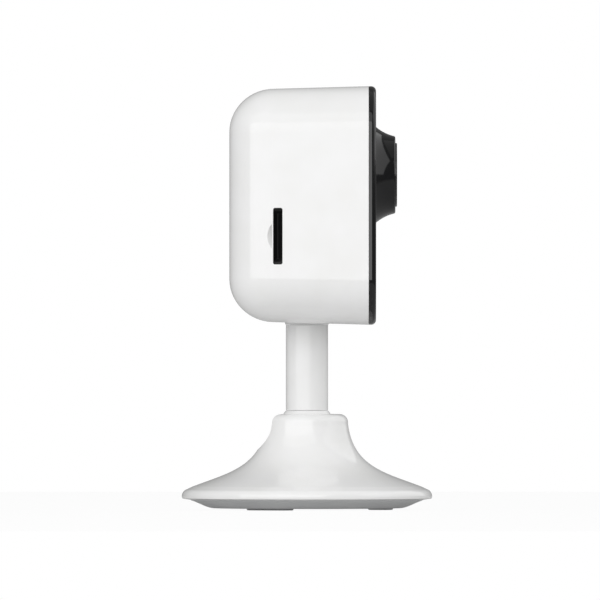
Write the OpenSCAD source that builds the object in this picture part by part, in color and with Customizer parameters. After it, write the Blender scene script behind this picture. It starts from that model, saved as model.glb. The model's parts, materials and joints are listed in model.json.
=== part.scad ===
// Small indoor security camera: a square head with a flared lens shroud, on a stem that turns
// in a ball. The ball folds back inside the dome of a round weighted base.
// Millimetres. The lens looks along -Y and +Z is up. The origin is under the stem's axis, at
// the bottom of the feet.

/* [Head] */
// Width and height of the square head at its seam
head_size = 57.9; // [56:0.1:62]
// Height of the head's lowest edge above the table
head_lift = 45.1; // [43:0.1:60]
// Distance from the stem's axis forward to the front face
head_front = 16.75; // [16.5:0.05:18]
// Distance from the stem's axis back to the rear face
head_back = 18.87; // [18.5:0.01:22]
// Radius of the head's corners, seen from the front
corner_r = 11; // [10.5:0.1:13]
// Radius between the rear face and the flanks
rear_r = 10.5; // [8:0.1:10.5]
// Draft of each flank, in degrees
draft = 1.55; // [0.5:0.05:2]
// Wall of the moulded housings
wall = 1.8; // [1.4:0.1:2]

/* [Front cover] */
// Thickness of the glossy front cover
cover_t = 1.77; // [1.75:0.01:2.2]
// Rounding of the cover's front edge
cover_edge_r = 0.85; // [0.6:0.05:0.85]
// Radius of the microphone hole
mic_hole_r = 0.5; // [0.3:0.05:0.8]

/* [Lens] */
// Height of the lens axis above the head's centre
lens_rise = 7.55; // [5:0.05:8]
// Length of the shroud in front of the cover
shroud_l = 5.18; // [4.9:0.01:6]
// Radius of the shroud's flared foot
shroud_foot_r = 11.75; // [11:0.05:13]
// Radius of the shroud's tip
shroud_tip_r = 9.45; // [9.2:0.05:9.8]
// Outer radius of the trim ring at the tip
trim_r = 7.76; // [7.4:0.01:8]
// Radius of the lens barrel
barrel_r = 6; // [5:0.1:6.1]

/* [Memory card slot] */
// Width of the slot in the flank
slot_w = 2.26; // [1.8:0.01:2.6]
// Height of the slot
slot_h = 13.7; // [12.5:0.1:15]
// Distance of the slot behind the stem's axis
slot_y = 7.08; // [6.9:0.01:7.2]
// Height of the slot above the table
slot_z = 66.56; // [66:0.01:68]
// Radius of the thumb notch behind the slot
notch_r = 4.6; // [3.5:0.1:5.5]
// Depth of the thumb notch
notch_depth = 0.9; // [0.4:0.1:1]

/* [Rear face] */
// Height of the power port and the reset button above the table
port_z = 60.3; // [59.5:0.1:61]
// Width of the power port's opening
port_w = 9.6; // [9:0.1:10.5]
// Height of the power port's opening
port_h = 5; // [4.4:0.1:5.4]
// Sideways place of the reset button
button_x = 12; // [11:0.1:13]
// Radius of the reset button
button_r = 1.45; // [1.2:0.05:1.6]
// Travel of the reset button
button_travel = 0.6; // [0.3:0.05:0.6]
// Radius of each speaker hole
grille_hole_r = 0.6; // [0.4:0.05:0.8]
// Spacing of the rings of speaker holes
grille_pitch = 2.2; // [2:0.05:2.3]

/* [Stem] */
// Radius of the stem
stem_r = 5.13; // [5:0.01:5.2]
// Radius of the collar where the stem meets the head
collar_r = 6.4; // [5.8:0.1:7]

/* [Base] */
// Height of the fold axis above the table
pivot_z = 19.8; // [19.6:0.05:20]
// Radius of the pivot ball
ball_r = 6.75; // [6.7:0.01:6.8]
// Radius of the opening at the top of the dome
mouth_r = 5.9; // [5.85:0.01:5.95]
// Height of the dome's top edge
dome_top_z = 23.3; // [23.2:0.05:23.4]
// Radius of the dome's wall at its shoulder
dome_r = 10; // [9.9:0.05:10.3]
// Radius of the base's rim
rim_r = 30.5; // [30:0.1:33]
// Gap on each side of the stem where it folds into the rear slot
slot_play = 0.11; // [0.1:0.01:0.3]

/* [Feet] */
// Length of a foot pad, along the rim
pad_l = 12.2; // [10:0.1:13]
// Width of a foot pad
pad_w = 6.1; // [5:0.1:7]
// Distance of the pads from the base's centre
pad_reach = 17.9; // [17:0.1:19]

/* [Hidden] */
$fn = 96;
white = "#f1f1ef";
black = "#1b1b1d";
grey = "#8d8e90";
steel = "#b9bcc0";
board_green = "#1f5a3c";
cut = 1;            // how far a cutting shape runs past the solid
slice = 0.02;       // thickness of the slices that a hull joins
fit_gap = 0.05;     // running clearance on each side of a turning or sliding fit
loose_gap = 0.15;   // clearance of a loose assembly fit
screw_r = 0.97;     // shank of the small screws
pilot_r = 1;        // their pilot holes
screw_head_r = 1.9;
screw_head_h = 1.2;
edge_fn = 48;       // facets round a hull's own circles and spheres
chip_color = "#232426";
lens_color = "#3b4a63";
amber = "#b5762b";

// --- head ---
head_z = head_lift + head_size / 2;
face_y = -head_front;
seam_y = face_y + cover_t;
back_y = head_back;
back_inner_y = back_y - wall;
lens_z = head_z + lens_rise;
rear_centre_y = back_y - rear_r;

collar_h = 1.3;
port_corner_r = 1;
slot_corner_r = 0.47;
notch_y = 5.13;         // centre of the thumb notch

// --- front frame, behind the cover ---
frame_t = 1.8;
frame_y = seam_y + frame_t;
frame_size = head_size - 2 * (wall + loose_gap);
frame_corner_r = corner_r - wall - loose_gap;
frame_post_x = 24.4;
frame_post_dz = 14;
frame_post_r = 2.9;
frame_post_end_y = -4;
frame_screw_end_y = -7;
frame_screw_sink = 1.3;
post_sink = 0.5;        // how far a screw pilot runs into the frame's plate

// --- lens ---
tip_round = 0.5;
tip_edge_a = shroud_l - 0.98;   // where the rounding of the shroud's tip starts
flare_pull = [[10.2, 1.39], [shroud_tip_r + 0.22, 3.06]];
glass_r = 7;
glass_t = 1;
glass_a = 3.05;         // the glass's rear face, ahead of the cover's face
spigot_r = 8.95;        // the shroud's spigot through the cover
shroud_bore_r = 7.2;
shroud_stop_r = 6.3;    // ledge that the cover glass rests on
barrel_front_a = 1.9;
barrel_back_y = -4.75;
barrel_bore_r = 2.6;
barrel_mouth_r = 5.1;
front_lens_r = 4.6;
front_lens_a = [-1.45, 2.2];    // the front lens's flat rear and its tip
front_lens_sag = 1.2;
rear_lens_r = 3.2;
rear_seat = 1.9;        // depth of the rear lens's seat
rear_lens_sag = 0.7;
holder_w = 25;
holder_h = 18;
holder_front_y = -5;
holder_back_y = -1;
holder_boss_r = 8.4;
holder_boss_y = -12.6;
holder_screws_at = [[10.3, 6.8], [-10.3, -6.8]];
holder_post_r = 2.3;
window_r = 3.6;
coil = [8, 3.4, 4];     // width, depth and height of the filter's coil
coil_y = -4.6;

// --- infrared filter slider ---
slider_w = 14.4;
slider_h = 8.4;
slider_y = [-3.5, -2.8];
pane = 6;
pane_step = 7;          // from one pane to the next: the slider's travel
track_w = 22.6;
track_y = [-3.6, -2.7];

// --- sensor and sensor board ---
sensor_board_w = 26;
sensor_board_h = 22;
board_t = 1;
sensor_size = [7.4, board_t, 5.8];
sensor_bay = [10, 7.9];
flex_w = 8;
flex_t = 0.2;
flex_top_z = 73;
flex_bend_z = [62.6, 58];
flex_steps = 16;

// --- light board, with the infrared lights ---
led_board_w = 42;
led_board_z = [57, 95];
led_board_y = [-9.6, -8.6];
led_board_hole_r = 9;
led_screws_at = [[17, 60.5], [-17, 60.5], [17, 92.4], [-17, 92.4]];
led_post_r = 2;
led_x = 15.5;
led_steps = [-6.5, 0, 6.5];
led_size = 3.4;
led_h = 2.2;
led_play = 1;           // room for each light in the frame's window
led_board_corner_r = 5;
status_z = 66.5;
status_led_size = [1.6, 0.8, 1.2];
pipe_r = [1, 1.7];      // the light pipe's rod and its flange
pipe_gap = 0.9;         // from the pipe's end to the light board
ambient_x = 5;
ambient_size = [2, 0.8, 2];
ambient_hole_r = 1.2;
mic_z = 60;
mic_size = [3.4, 1, 2.5];
mic_gasket_r = 1.85;

// --- main board ---
main_y = [4.9, 6.1];
main_z = [56.6, 97.4];
main_half_w = 25.4;
main_corner_r = 7;
main_screws_at = [[-19.5, 92.5], [19.5, 92.5], [-9, 61], [19.5, 61]];
main_post_r = 2.4;
main_screw_end_y = 12;
chip_h = 1.2;
chips = [[12, 12, -4, 77], [6, 8, 8, 77], [5, 5, 6, 68]];   // width, height, x and z
pad_y = 3;
sink_y = 2;
sink_size = [32, 26];
sink_z = 77.5;
fins = 5;
fin_pitch = 6;
fin_size = [1, 0.6, 24];
can_size = [11, 1.6, 9.5];
can_at = [12.6, 82.5];
can_wall = 0.3;

// --- card socket and power board ---
socket_l = 13.6;
socket_x = -25.4;
socket_h = 14.8;
socket_t = 1.96;
card = [12.4, 0.9, 11.2];       // room for the card in its socket
liner_x = [-26.4, -25.45];      // black liner between the flank and the socket
liner_w = 4.2;
liner_h = 16.4;
power_board_x = [-6.2, 16];
power_board_y = [6.6, 15.2];
power_board_z = 58;
port_board_top = power_board_z + board_t;
usb = [7.5, 5.7, 2.6];
usb_mouth_y = 16.9;
usb_wall = 0.35;
usb_tongue = [0.8, 1.4];        // bottom and top of the tongue, above the socket's floor
connector = [3.4, 2.6, 2];
connector_x = 5;
switch_size = [4.5, 3.2, 2.8];
switch_front_y = 14.2;
plunger_y = 14.7;
button_foot_y = plunger_y + button_travel + 0.1;
button_flange_y = 15.9;
button_foot_r = 1.2;
button_flange_r = 2.4;
button_sink = 0.2;      // the button's face, inside the rear face
plunger_r = 0.9;

// --- speaker ---
speaker_r = 9;
speaker_y = [11.2, 13, 16.3];
magnet_r = 6;
cone_r = 8;
cone_sink = 0.9;
cloth_t = 0.2;
cloth_y = back_inner_y - fit_gap - cloth_t;
gasket_r = 7.9;         // bore of the speaker's gasket
grille_rings = 3;
wire_r = 0.4;
wire_x = 1.5;

// --- antenna ---
antenna = [0.25, 8, 17];
antenna_at = [26.25, -11, 66];
cable_r = 0.45;
cable_at = [24.6, -3.6, 74];

// --- stem, ball and the screw that joins them ---
ball_top_z = pivot_z + sqrt(ball_r * ball_r - stem_r * stem_r) - fit_gap;
stem_z = ball_top_z + fit_gap;
journal_r = 2.6;
ledge_z = 16.4;         // step in the ball's bore that the washer turns on
washer_r = 3.3;
washer_t = 0.6;
spigot_top_z = 52;
neck_spigot_r = 4.1;
neck_socket_r = 6.4;
neck_socket_z = 53.5;
neck_screw_r = 1.5;
neck_screw_z = 40;
neck_head = [3, 1.6];   // radius and height of the neck screw's head
stem_screw_top_z = 29;
cheek_x = 5.9;          // flat cheeks of the ball, where the pins enter
pin_r = 1.5;
pin_x = [3.2, 9];
pocket_depth = 0.85;    // room for a friction washer beside each cheek
disc_r = 3.2;
disc_t = 0.7;

// --- base ---
seat_gap = 0.15;        // round the ball
seat_bore_r = 8;
plug_r = seat_bore_r - 0.1;
under_z = 2.5;
skin = 1.6;
sweep_from = [dome_r, 20.9];
sweep_pull = [[dome_r + 1.32, 10.35], [rim_r - 11.08, 9.3]];
sweep_to = [rim_r - 2.5, 5.8];
sweep_steps = 18;
dome_edge_r = 1.9;
rim_edge_r = 1.8;
rim_z = 3.5;
lip_r = rim_r - 2.1;    // inside of the rim, which the cover fits
lip_z = 3.2;
hollow_r = 13;          // the skin is hollow outside this radius
floor_z = 0.4;          // the cover's flat underside
cover_in_z = 1.9;
cover_edge = [[-7.4, 0.4], [-5.9, 0.9], [-4.7, 1.39], [-3.1, 1.88], [-2.2, 2.3], [-2.2, 3.1],
  [-3.2, 3.1], [-4, 1.9]];      // from the rim's radius, and height
retainer_z = [5.6, 7.4];
retainer_r = 15;
retainer_screw_x = 13;
retainer_boss_r = 2.6;
retainer_boss_h = 3.6;
retainer_screw_l = 4.4;
retainer_pilot_z = 10.6;
cover_screw_r = 1.2;
cover_screw_l = 4.4;
cover_screw_head = [2.3, 1.2];
cover_boss_r = 2.8;
cover_boss_z = [3.5, 8.1];
cover_pilot_z = 7.4;
cover_well_r = 3.5;
cover_well_z = [2.5, 3.4];
weight_r = [16.2, 24.6];
weight_z = [2, 4.6];
pocket_z = 1.2;
pad_angles = [0, 120, 240];

// ---------- helpers ----------

// Half of the head's width at depth y, with the draft
function head_half(y) = head_size / 2 - (y - seam_y) * tan(draft);

// A point on a cubic curve through a and d, pulled by b and c
function curve_point(a, b, c, d, t) =
  pow(1 - t, 3) * a + 3 * pow(1 - t, 2) * t * b + 3 * (1 - t) * t * t * c + t * t * t * d;
function curve(a, b, c, d, steps) =
  [for (i = [0 : steps]) curve_point(a, b, c, d, i / steps)];
function arc(centre, r, from, to, steps) =
  [for (i = [0 : steps])
    let (at = from + (to - from) * i / steps)
      centre + r * [cos(at), sin(at)]];

// Stands a flat drawing up in the X-Z plane; it grows towards the front from depth y
module facing(y, z = head_z, x = 0) {
  translate([x, y, z]) rotate([90, 0, 0]) children();
}

// A round bar along Y, from depth y0 back to y1
module bar_y(y0, y1, r, x = 0, z = lens_z) {
  facing(y1, z, x) cylinder(h = y1 - y0, r = r);
}

// A block along the axes between two depths, centred on x and z
module block(w, y0, y1, h, x = 0, z = lens_z) {
  translate([x - w / 2, y0, z - h / 2]) cube([w, y1 - y0, h]);
}

// A rectangle with round corners, centred
module round_rect(w, h, r) {
  square([w - 2 * r, h], center = true);
  square([w, h - 2 * r], center = true);
  for (x = [-1, 1], y = [-1, 1])
    translate([x * (w / 2 - r), y * (h / 2 - r)]) circle(r = r);
}

// The head's drafted form, moved inwards by inset, open at depth y_front
module head_form(inset, y_front) {
  size = 2 * (head_half(y_front) - inset);
  reach = head_half(rear_centre_y) - rear_r;
  hull() {
    facing(y_front + slice)
      linear_extrude(slice) round_rect(size, size, corner_r - inset, $fn = edge_fn);
    for (x = [-1, 1], z = [-1, 1])
      translate([x * reach, rear_centre_y, head_z + z * reach])
        sphere(r = rear_r - inset, $fn = edge_fn);
  }
}

// A pan-head screw along Y, its head's rear face at y and its tip at the front
module screw_y(y, length, x, z) {
  bar_y(y - screw_head_h, y, screw_head_r, x, z);
  bar_y(y - length, y - screw_head_h, screw_r, x, z);
}

// ---------- base ----------

// The long sweep of the base's skin, from the dome's wall down to the rim
function sweep() = curve(sweep_from, sweep_pull[0], sweep_pull[1], sweep_to, sweep_steps);

// The outline of the base's skin, from the mouth of the dome down to the rim
function skin_line() = concat(
  arc([dome_r - dome_edge_r, 21.3], dome_edge_r, 80, 10, 5),
  sweep(),
  arc([rim_r - rim_edge_r, rim_z], rim_edge_r, 75, -35, 6)
);

module stem_slot() {
  half = stem_r + slot_play;
  translate([0, 0, pivot_z]) rotate([-90, 0, 0]) cylinder(h = rim_r, r = half);
  translate([-half, 0, pivot_z]) cube([2 * half, rim_r, rim_r]);
}

module pin_bed(r) {
  translate([-pin_x[1] - fit_gap, 0, pivot_z]) rotate([0, 90, 0])
    cylinder(h = 2 * (pin_x[1] + fit_gap), r = r);
}

module washer_pockets() {
  reach = cheek_x + pocket_depth;
  translate([-reach, 0, pivot_z]) rotate([0, 90, 0]) cylinder(h = 2 * reach, r = disc_r + 0.1);
}

// Repeats its children at each foot pad
module at_pads(z = 0) {
  for (a = pad_angles) rotate(a) translate([0, -pad_reach, z]) children();
}

// Repeats its children at each screw of the ball's retainer
module at_retainer_screws(z = 0) {
  for (x = [-1, 1]) translate([x * retainer_screw_x, 0, z]) children();
}

module base_shell() {
  inner = [for (p = sweep()) if (p[0] > hollow_r) p - [skin, skin]];
  color(white) difference() {
    union() {
      difference() {
        rotate_extrude() polygon(concat([[0, under_z], [0, dome_top_z], [mouth_r, dome_top_z]],
          skin_line(), [[lip_r, under_z]]));
        rotate_extrude() polygon(concat([[0, 0], [0, inner[0][1]]], inner,
          [[lip_r - 0.8, lip_z], [lip_r, lip_z], [lip_r, 0]]));
      }
      at_retainer_screws(retainer_z[1]) cylinder(h = retainer_boss_h, r = retainer_boss_r);
      at_pads(cover_boss_z[0])
        cylinder(h = cover_boss_z[1] - cover_boss_z[0], r = cover_boss_r);
    }
    translate([0, 0, pivot_z]) sphere(r = ball_r + seat_gap);
    translate([0, 0, pivot_z]) cylinder(h = 2 * ball_r, r = mouth_r);
    cylinder(h = pivot_z, r = seat_bore_r);
    washer_pockets();
    pin_bed(pin_r + fit_gap);
    translate([-pin_x[1] - fit_gap, -pin_r - fit_gap, 0])
      cube([2 * (pin_x[1] + fit_gap), 2 * (pin_r + fit_gap), pivot_z]);
    stem_slot();
    at_retainer_screws() cylinder(h = retainer_pilot_z, r = pilot_r);
    at_pads() cylinder(h = cover_pilot_z, r = cover_screw_r);
  }
}

module ball_retainer() {
  tongue = 2 * (pin_x[1] - fit_gap);
  top_z = pivot_z - 0.1;
  color(black) difference() {
    union() {
      translate([0, 0, retainer_z[0]]) cylinder(h = top_z - retainer_z[0], r = plug_r);
      translate([-tongue / 2, -pin_r, retainer_z[0]])
        cube([tongue, 2 * pin_r, top_z - retainer_z[0]]);
      translate([0, 0, retainer_z[0]])
        cylinder(h = retainer_z[1] - retainer_z[0], r = retainer_r);
    }
    translate([0, 0, pivot_z]) sphere(r = ball_r + seat_gap);
    washer_pockets();
    pin_bed(pin_r + fit_gap);
    stem_slot();
    at_retainer_screws() cylinder(h = 2 * retainer_z[1], r = pilot_r + loose_gap);
  }
}

module retainer_screws() {
  color(steel) at_retainer_screws(retainer_z[0]) {
    translate([0, 0, -screw_head_h]) cylinder(h = screw_head_h, r = screw_head_r);
    cylinder(h = retainer_screw_l, r = screw_r);
  }
}

module friction_washers() {
  color(steel) for (side = [-1, 1])
    translate([side * (cheek_x + pocket_depth / 2), 0, pivot_z]) rotate([0, 90, 0])
      difference() {
        cylinder(h = disc_t, r = disc_r, center = true);
        cylinder(h = cut, r = pin_r + fit_gap, center = true);
      }
}

module base_weight() {
  color(steel) difference() {
    translate([0, 0, weight_z[0]]) cylinder(h = weight_z[1] - weight_z[0], r = weight_r[1]);
    cylinder(h = 2 * weight_z[1], r = weight_r[0]);
    at_pads() cylinder(h = 2 * weight_z[1], r = cover_well_r + 0.2);
  }
}

module base_cover() {
  color(grey) difference() {
    union() {
      rotate_extrude() polygon(concat([[0, floor_z]], [for (p = cover_edge) p + [rim_r, 0]],
        [[0, cover_in_z]]));
      at_pads(cover_in_z) cylinder(h = cover_well_z[1] - cover_in_z, r = cover_well_r);
    }
    at_pads() {
      linear_extrude(pocket_z) round_rect(pad_l + 0.2, pad_w + 0.2, pad_w / 2 + 0.05);
      cylinder(h = cover_well_z[0], r = cover_screw_head[0] + 0.2);
      cylinder(h = 2 * cover_well_z[1], r = cover_screw_r + loose_gap);
    }
  }
}

module foot_pads() {
  color(black) at_pads() linear_extrude(pocket_z) round_rect(pad_l, pad_w, pad_w / 2 - 0.05);
}

module cover_screws() {
  color(steel) at_pads(pocket_z + 0.1) {
    cylinder(h = cover_screw_head[1], r = cover_screw_head[0]);
    translate([0, 0, cover_screw_head[1]])
      cylinder(h = cover_screw_l, r = cover_screw_r - 0.03);
  }
}

// ---------- pivot ball ----------

module pivot_ball() {
  color(white) difference() {
    translate([0, 0, pivot_z]) intersection() {
      sphere(r = ball_r);
      translate([-cheek_x, -ball_r, -ball_r]) cube([2 * cheek_x, 2 * ball_r,
        ball_top_z - pivot_z + ball_r]);
    }
    cylinder(h = 2 * pivot_z, r = journal_r + fit_gap);
    cylinder(h = ledge_z, r = washer_r + 0.1);
    pin_bed(pin_r);
  }
}

module hinge_pins() {
  color(steel) for (side = [-1, 1])
    translate([side * (pin_x[0] + pin_x[1]) / 2, 0, pivot_z]) rotate([0, 90, 0])
      cylinder(h = pin_x[1] - pin_x[0], r = pin_r, center = true);
}

// ---------- stem ----------

module stem() {
  color(white) difference() {
    union() {
      translate([0, 0, stem_z]) cylinder(h = head_lift - fit_gap - stem_z, r = stem_r);
      translate([0, 0, ledge_z - fit_gap]) cylinder(h = stem_z - ledge_z + cut, r = journal_r);
      translate([0, 0, head_lift - cut])
        cylinder(h = spigot_top_z - head_lift + cut, r = neck_spigot_r);
    }
    cylinder(h = stem_screw_top_z + cut, r = screw_r);
    translate([0, 0, neck_screw_z - 2]) cylinder(h = head_z, r = neck_screw_r);
  }
}

module stem_washer() {
  color(steel) translate([0, 0, ledge_z - fit_gap - washer_t]) difference() {
    cylinder(h = washer_t, r = washer_r);
    cylinder(h = 3 * washer_t, r = screw_r, center = true);
  }
}

module stem_screw() {
  top = ledge_z - fit_gap - washer_t;
  color(steel) {
    translate([0, 0, top - screw_head_h]) cylinder(h = screw_head_h, r = screw_head_r);
    translate([0, 0, top]) cylinder(h = stem_screw_top_z - top, r = screw_r);
  }
}

module neck_screw() {
  color(steel) {
    translate([0, 0, neck_socket_z]) cylinder(h = neck_head[1], r = neck_head[0]);
    translate([0, 0, neck_screw_z])
      cylinder(h = neck_socket_z - neck_screw_z, r = neck_screw_r);
  }
}

// ---------- head casings ----------

module speaker_holes() {
  bar_y(speaker_y[2], back_y + cut, grille_hole_r);
  for (ring = [1 : grille_rings], i = [0 : 6 * ring - 1])
    let (a = i * 60 / ring, out = ring * grille_pitch)
      bar_y(speaker_y[2], back_y + cut, grille_hole_r, out * cos(a), lens_z + out * sin(a));
}

module rear_housing() {
  flank_x = -head_size / 2;
  color(white) difference() {
    union() {
      difference() {
        head_form(0, seam_y);
        head_form(wall, seam_y - cut);
      }
      translate([0, 0, head_lift]) cylinder(h = collar_h, r1 = stem_r, r2 = collar_r);
      translate([0, 0, head_lift + collar_h])
        cylinder(h = neck_socket_z - head_lift - collar_h, r = neck_socket_r);
      for (at = main_screws_at)
        bar_y(main_y[1], back_inner_y + 0.5, main_post_r, at[0], at[1]);
      for (x = [-1, 1], z = [-1, 1])
        bar_y(frame_y, frame_post_end_y, frame_post_r, x * frame_post_x,
          head_z + z * frame_post_dz);
    }
    // neck socket and the hole for its screw
    translate([0, 0, head_lift - cut])
      cylinder(h = spigot_top_z - head_lift + cut, r = neck_spigot_r + 0.02);
    cylinder(h = head_z, r = neck_screw_r + 0.1);
    // screw pilots
    for (at = main_screws_at)
      bar_y(main_y[1] - cut, main_screw_end_y + cut, pilot_r, at[0], at[1]);
    for (x = [-1, 1], z = [-1, 1])
      bar_y(frame_y - cut, frame_post_end_y - cut, pilot_r, x * frame_post_x,
        head_z + z * frame_post_dz);
    // memory card slot and its thumb notch
    translate([flank_x - cut, slot_y, slot_z]) rotate([90, 0, 90])
      linear_extrude(wall + 3 * cut) round_rect(slot_w, slot_h, slot_corner_r);
    intersection() {
      translate([flank_x - cut, notch_y, slot_z]) rotate([0, 90, 0])
        cylinder(h = head_size / 2 - head_half(slot_y) + notch_depth + cut, r = notch_r);
      translate([flank_x - cut, slot_y, slot_z - notch_r]) cube(2 * notch_r);
    }
    // power port, reset button and speaker
    facing(back_y + cut, port_z) linear_extrude(2 * wall + cut)
      round_rect(port_w, port_h, port_corner_r);
    bar_y(back_inner_y - cut, back_y + cut, button_r + fit_gap, button_x, port_z);
    speaker_holes();
  }
}

module front_frame() {
  color(black) difference() {
    union() {
      facing(frame_y) linear_extrude(frame_t)
        round_rect(frame_size, frame_size, frame_corner_r);
      for (at = holder_screws_at)
        bar_y(frame_y, holder_front_y, holder_post_r, at[0], lens_z + at[1]);
      for (at = led_screws_at) bar_y(frame_y, led_board_y[0], led_post_r, at[0], at[1]);
    }
    bar_y(seam_y - cut, frame_y + cut, spigot_r + fit_gap);
    for (at = holder_screws_at)
      bar_y(frame_y - post_sink, holder_front_y + cut, pilot_r, at[0], lens_z + at[1]);
    for (at = led_screws_at)
      bar_y(frame_y - post_sink, led_board_y[0] + cut, pilot_r, at[0], at[1]);
    for (x = [-1, 1], z = [-1, 1]) {
      bar_y(seam_y - cut, frame_y + cut, pilot_r + loose_gap, x * frame_post_x,
        head_z + z * frame_post_dz);
      bar_y(seam_y - cut, seam_y + frame_screw_sink, screw_head_r + 0.1, x * frame_post_x,
        head_z + z * frame_post_dz);
    }
    for (x = [-1, 1], dz = led_steps)
      block(led_size + led_play, seam_y - cut, frame_y + cut, led_size + led_play, x * led_x,
        lens_z + dz);
    bar_y(seam_y - cut, frame_y + cut, pipe_r[0] + fit_gap, 0, status_z);
    bar_y(seam_y - cut, frame_y + cut, ambient_hole_r, ambient_x, status_z);
    bar_y(seam_y - cut, frame_y + cut, mic_gasket_r + 0.1, 0, mic_z);
  }
}

module frame_screws() {
  seat_y = seam_y + frame_screw_sink - fit_gap;
  color(steel) for (x = [-1, 1], z = [-1, 1]) {
    bar_y(seam_y + fit_gap, seat_y, screw_head_r, x * frame_post_x,
      head_z + z * frame_post_dz);
    bar_y(seat_y, frame_screw_end_y, screw_r, x * frame_post_x, head_z + z * frame_post_dz);
  }
}

// A square plate that stands on its back, with its front edge rounded by radius e
module soft_plate(size, r, t, e) {
  reach = size / 2 - r;
  linear_extrude(t - e) round_rect(size, size, r);
  linear_extrude(t) round_rect(size - 2 * e, size - 2 * e, r - e);
  for (x = [-1, 1], y = [-1, 1]) translate([x * reach, y * reach, t - e])
    rotate_extrude() translate([r - e, 0]) circle(r = e);
  for (a = [0 : 90 : 270]) rotate(a) translate([-reach, size / 2 - e, t - e])
    rotate([0, 90, 0]) cylinder(h = 2 * reach, r = e);
}

module front_cover() {
  color(black) difference() {
    facing(seam_y) soft_plate(head_size, corner_r, cover_t, cover_edge_r);
    bar_y(face_y - cut, seam_y + cut, spigot_r + fit_gap);
    bar_y(face_y - cut, seam_y + cut, mic_hole_r, 0, mic_z);
    bar_y(face_y - cut, seam_y + cut, pipe_r[0] + fit_gap, 0, status_z);
  }
}

// ---------- lens ----------

module lens_shroud() {
  spigot_a = face_y - frame_y;
  color(black) facing(face_y, lens_z) rotate_extrude() polygon(concat(
    curve([shroud_foot_r, 0], flare_pull[0], flare_pull[1], [shroud_tip_r, tip_edge_a], 10),
    arc([shroud_tip_r - tip_round, tip_edge_a], tip_round, 15, 90, 4),
    [[trim_r + 0.05, shroud_l - 0.4], [trim_r + 0.05, glass_a + glass_t],
     [glass_r + 0.05, glass_a + glass_t], [glass_r + 0.05, glass_a], [shroud_stop_r, glass_a],
     [shroud_bore_r, 0], [shroud_bore_r, spigot_a], [spigot_r, spigot_a], [spigot_r, 0]]));
}

module lens_trim_ring() {
  back = glass_a + glass_t;
  inner_r = shroud_stop_r - 0.1;
  edge = 0.18;
  color(black) facing(face_y, lens_z) rotate_extrude() polygon([[inner_r, back],
    [trim_r, back], [trim_r, shroud_l - edge], [trim_r - edge, shroud_l],
    [trim_r - 4 * edge, shroud_l], [inner_r, back + edge]]);
}

module lens_cover_glass() {
  color("#30363c") bar_y(face_y - glass_a - glass_t, face_y - glass_a, glass_r);
}

module lens_barrel() {
  back = face_y - barrel_back_y;
  seat_a = front_lens_a[0] - 0.05;
  color(black) facing(face_y, lens_z) rotate_extrude() polygon([
    [barrel_mouth_r, barrel_front_a], [barrel_r, barrel_front_a], [barrel_r, back],
    [rear_lens_r + fit_gap, back], [rear_lens_r + fit_gap, back + rear_seat],
    [barrel_bore_r, back + rear_seat], [barrel_bore_r, seat_a],
    [front_lens_r + fit_gap, seat_a], [front_lens_r + fit_gap, barrel_front_a - 0.7]]);
}

// Radius of the sphere that rises by sag over a lens of radius r
function lens_ball(r, sag) = (r * r + sag * sag) / (2 * sag);

module front_lens() {
  ball = lens_ball(front_lens_r, front_lens_sag);
  color(lens_color) facing(face_y, lens_z) intersection() {
    translate([0, 0, front_lens_a[0]]) cylinder(h = 2 * ball, r = front_lens_r);
    translate([0, 0, front_lens_a[1] - ball]) sphere(r = ball);
  }
}

module rear_lens() {
  ball = lens_ball(rear_lens_r, rear_lens_sag);
  color(lens_color) intersection() {
    bar_y(barrel_back_y - rear_seat + fit_gap, barrel_back_y + rear_lens_sag, rear_lens_r);
    translate([0, barrel_back_y + 0.2 - ball, lens_z]) sphere(r = ball);
  }
}

module lens_holder() {
  color(black) difference() {
    union() {
      block(holder_w, holder_front_y, holder_back_y, holder_h);
      bar_y(holder_boss_y, holder_front_y, holder_boss_r);
    }
    bar_y(holder_boss_y - cut, barrel_back_y + 0.3, barrel_r + fit_gap);
    bar_y(barrel_back_y, holder_back_y, window_r);
    block(track_w, track_y[0], track_y[1], slider_h + 0.2);
    block(sensor_bay[0], track_y[1] - 0.1, holder_back_y + cut, sensor_bay[1]);
    for (at = holder_screws_at)
      bar_y(holder_front_y - cut, holder_back_y + cut, pilot_r + 0.05, at[0], lens_z + at[1]);
  }
}

module holder_screws() {
  color(steel) for (at = holder_screws_at)
    screw_y(screw_head_h, 9, at[0], lens_z + at[1]);
}

module ir_cut_coil() {
  color("#9a5a2c") block(coil[0], coil_y, coil_y + coil[1], coil[2], 0,
    lens_z - holder_h / 2 - coil[2] / 2);
}

module filter_slider() {
  color(black) difference() {
    block(slider_w, slider_y[0], slider_y[1], slider_h, pane_step / 2);
    for (i = [0, 1])
      block(pane, slider_y[0] - cut, slider_y[1] + cut, pane, i * pane_step);
  }
}

module ir_filter_glass() {
  color("#5fa3b0") block(pane, slider_y[0], slider_y[1], pane);
}

module clear_filter_glass() {
  color("#dfe8ea") block(pane, slider_y[0], slider_y[1], pane, pane_step);
}

module image_sensor() {
  color("#2f3b35") block(sensor_size[0], holder_back_y - sensor_size[1], holder_back_y,
    sensor_size[2]);
}

module sensor_board() {
  color(board_green) difference() {
    block(sensor_board_w, holder_back_y, holder_back_y + board_t, sensor_board_h);
    for (at = holder_screws_at)
      bar_y(holder_back_y - cut, cut, pilot_r + loose_gap, at[0], lens_z + at[1]);
  }
}

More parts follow.
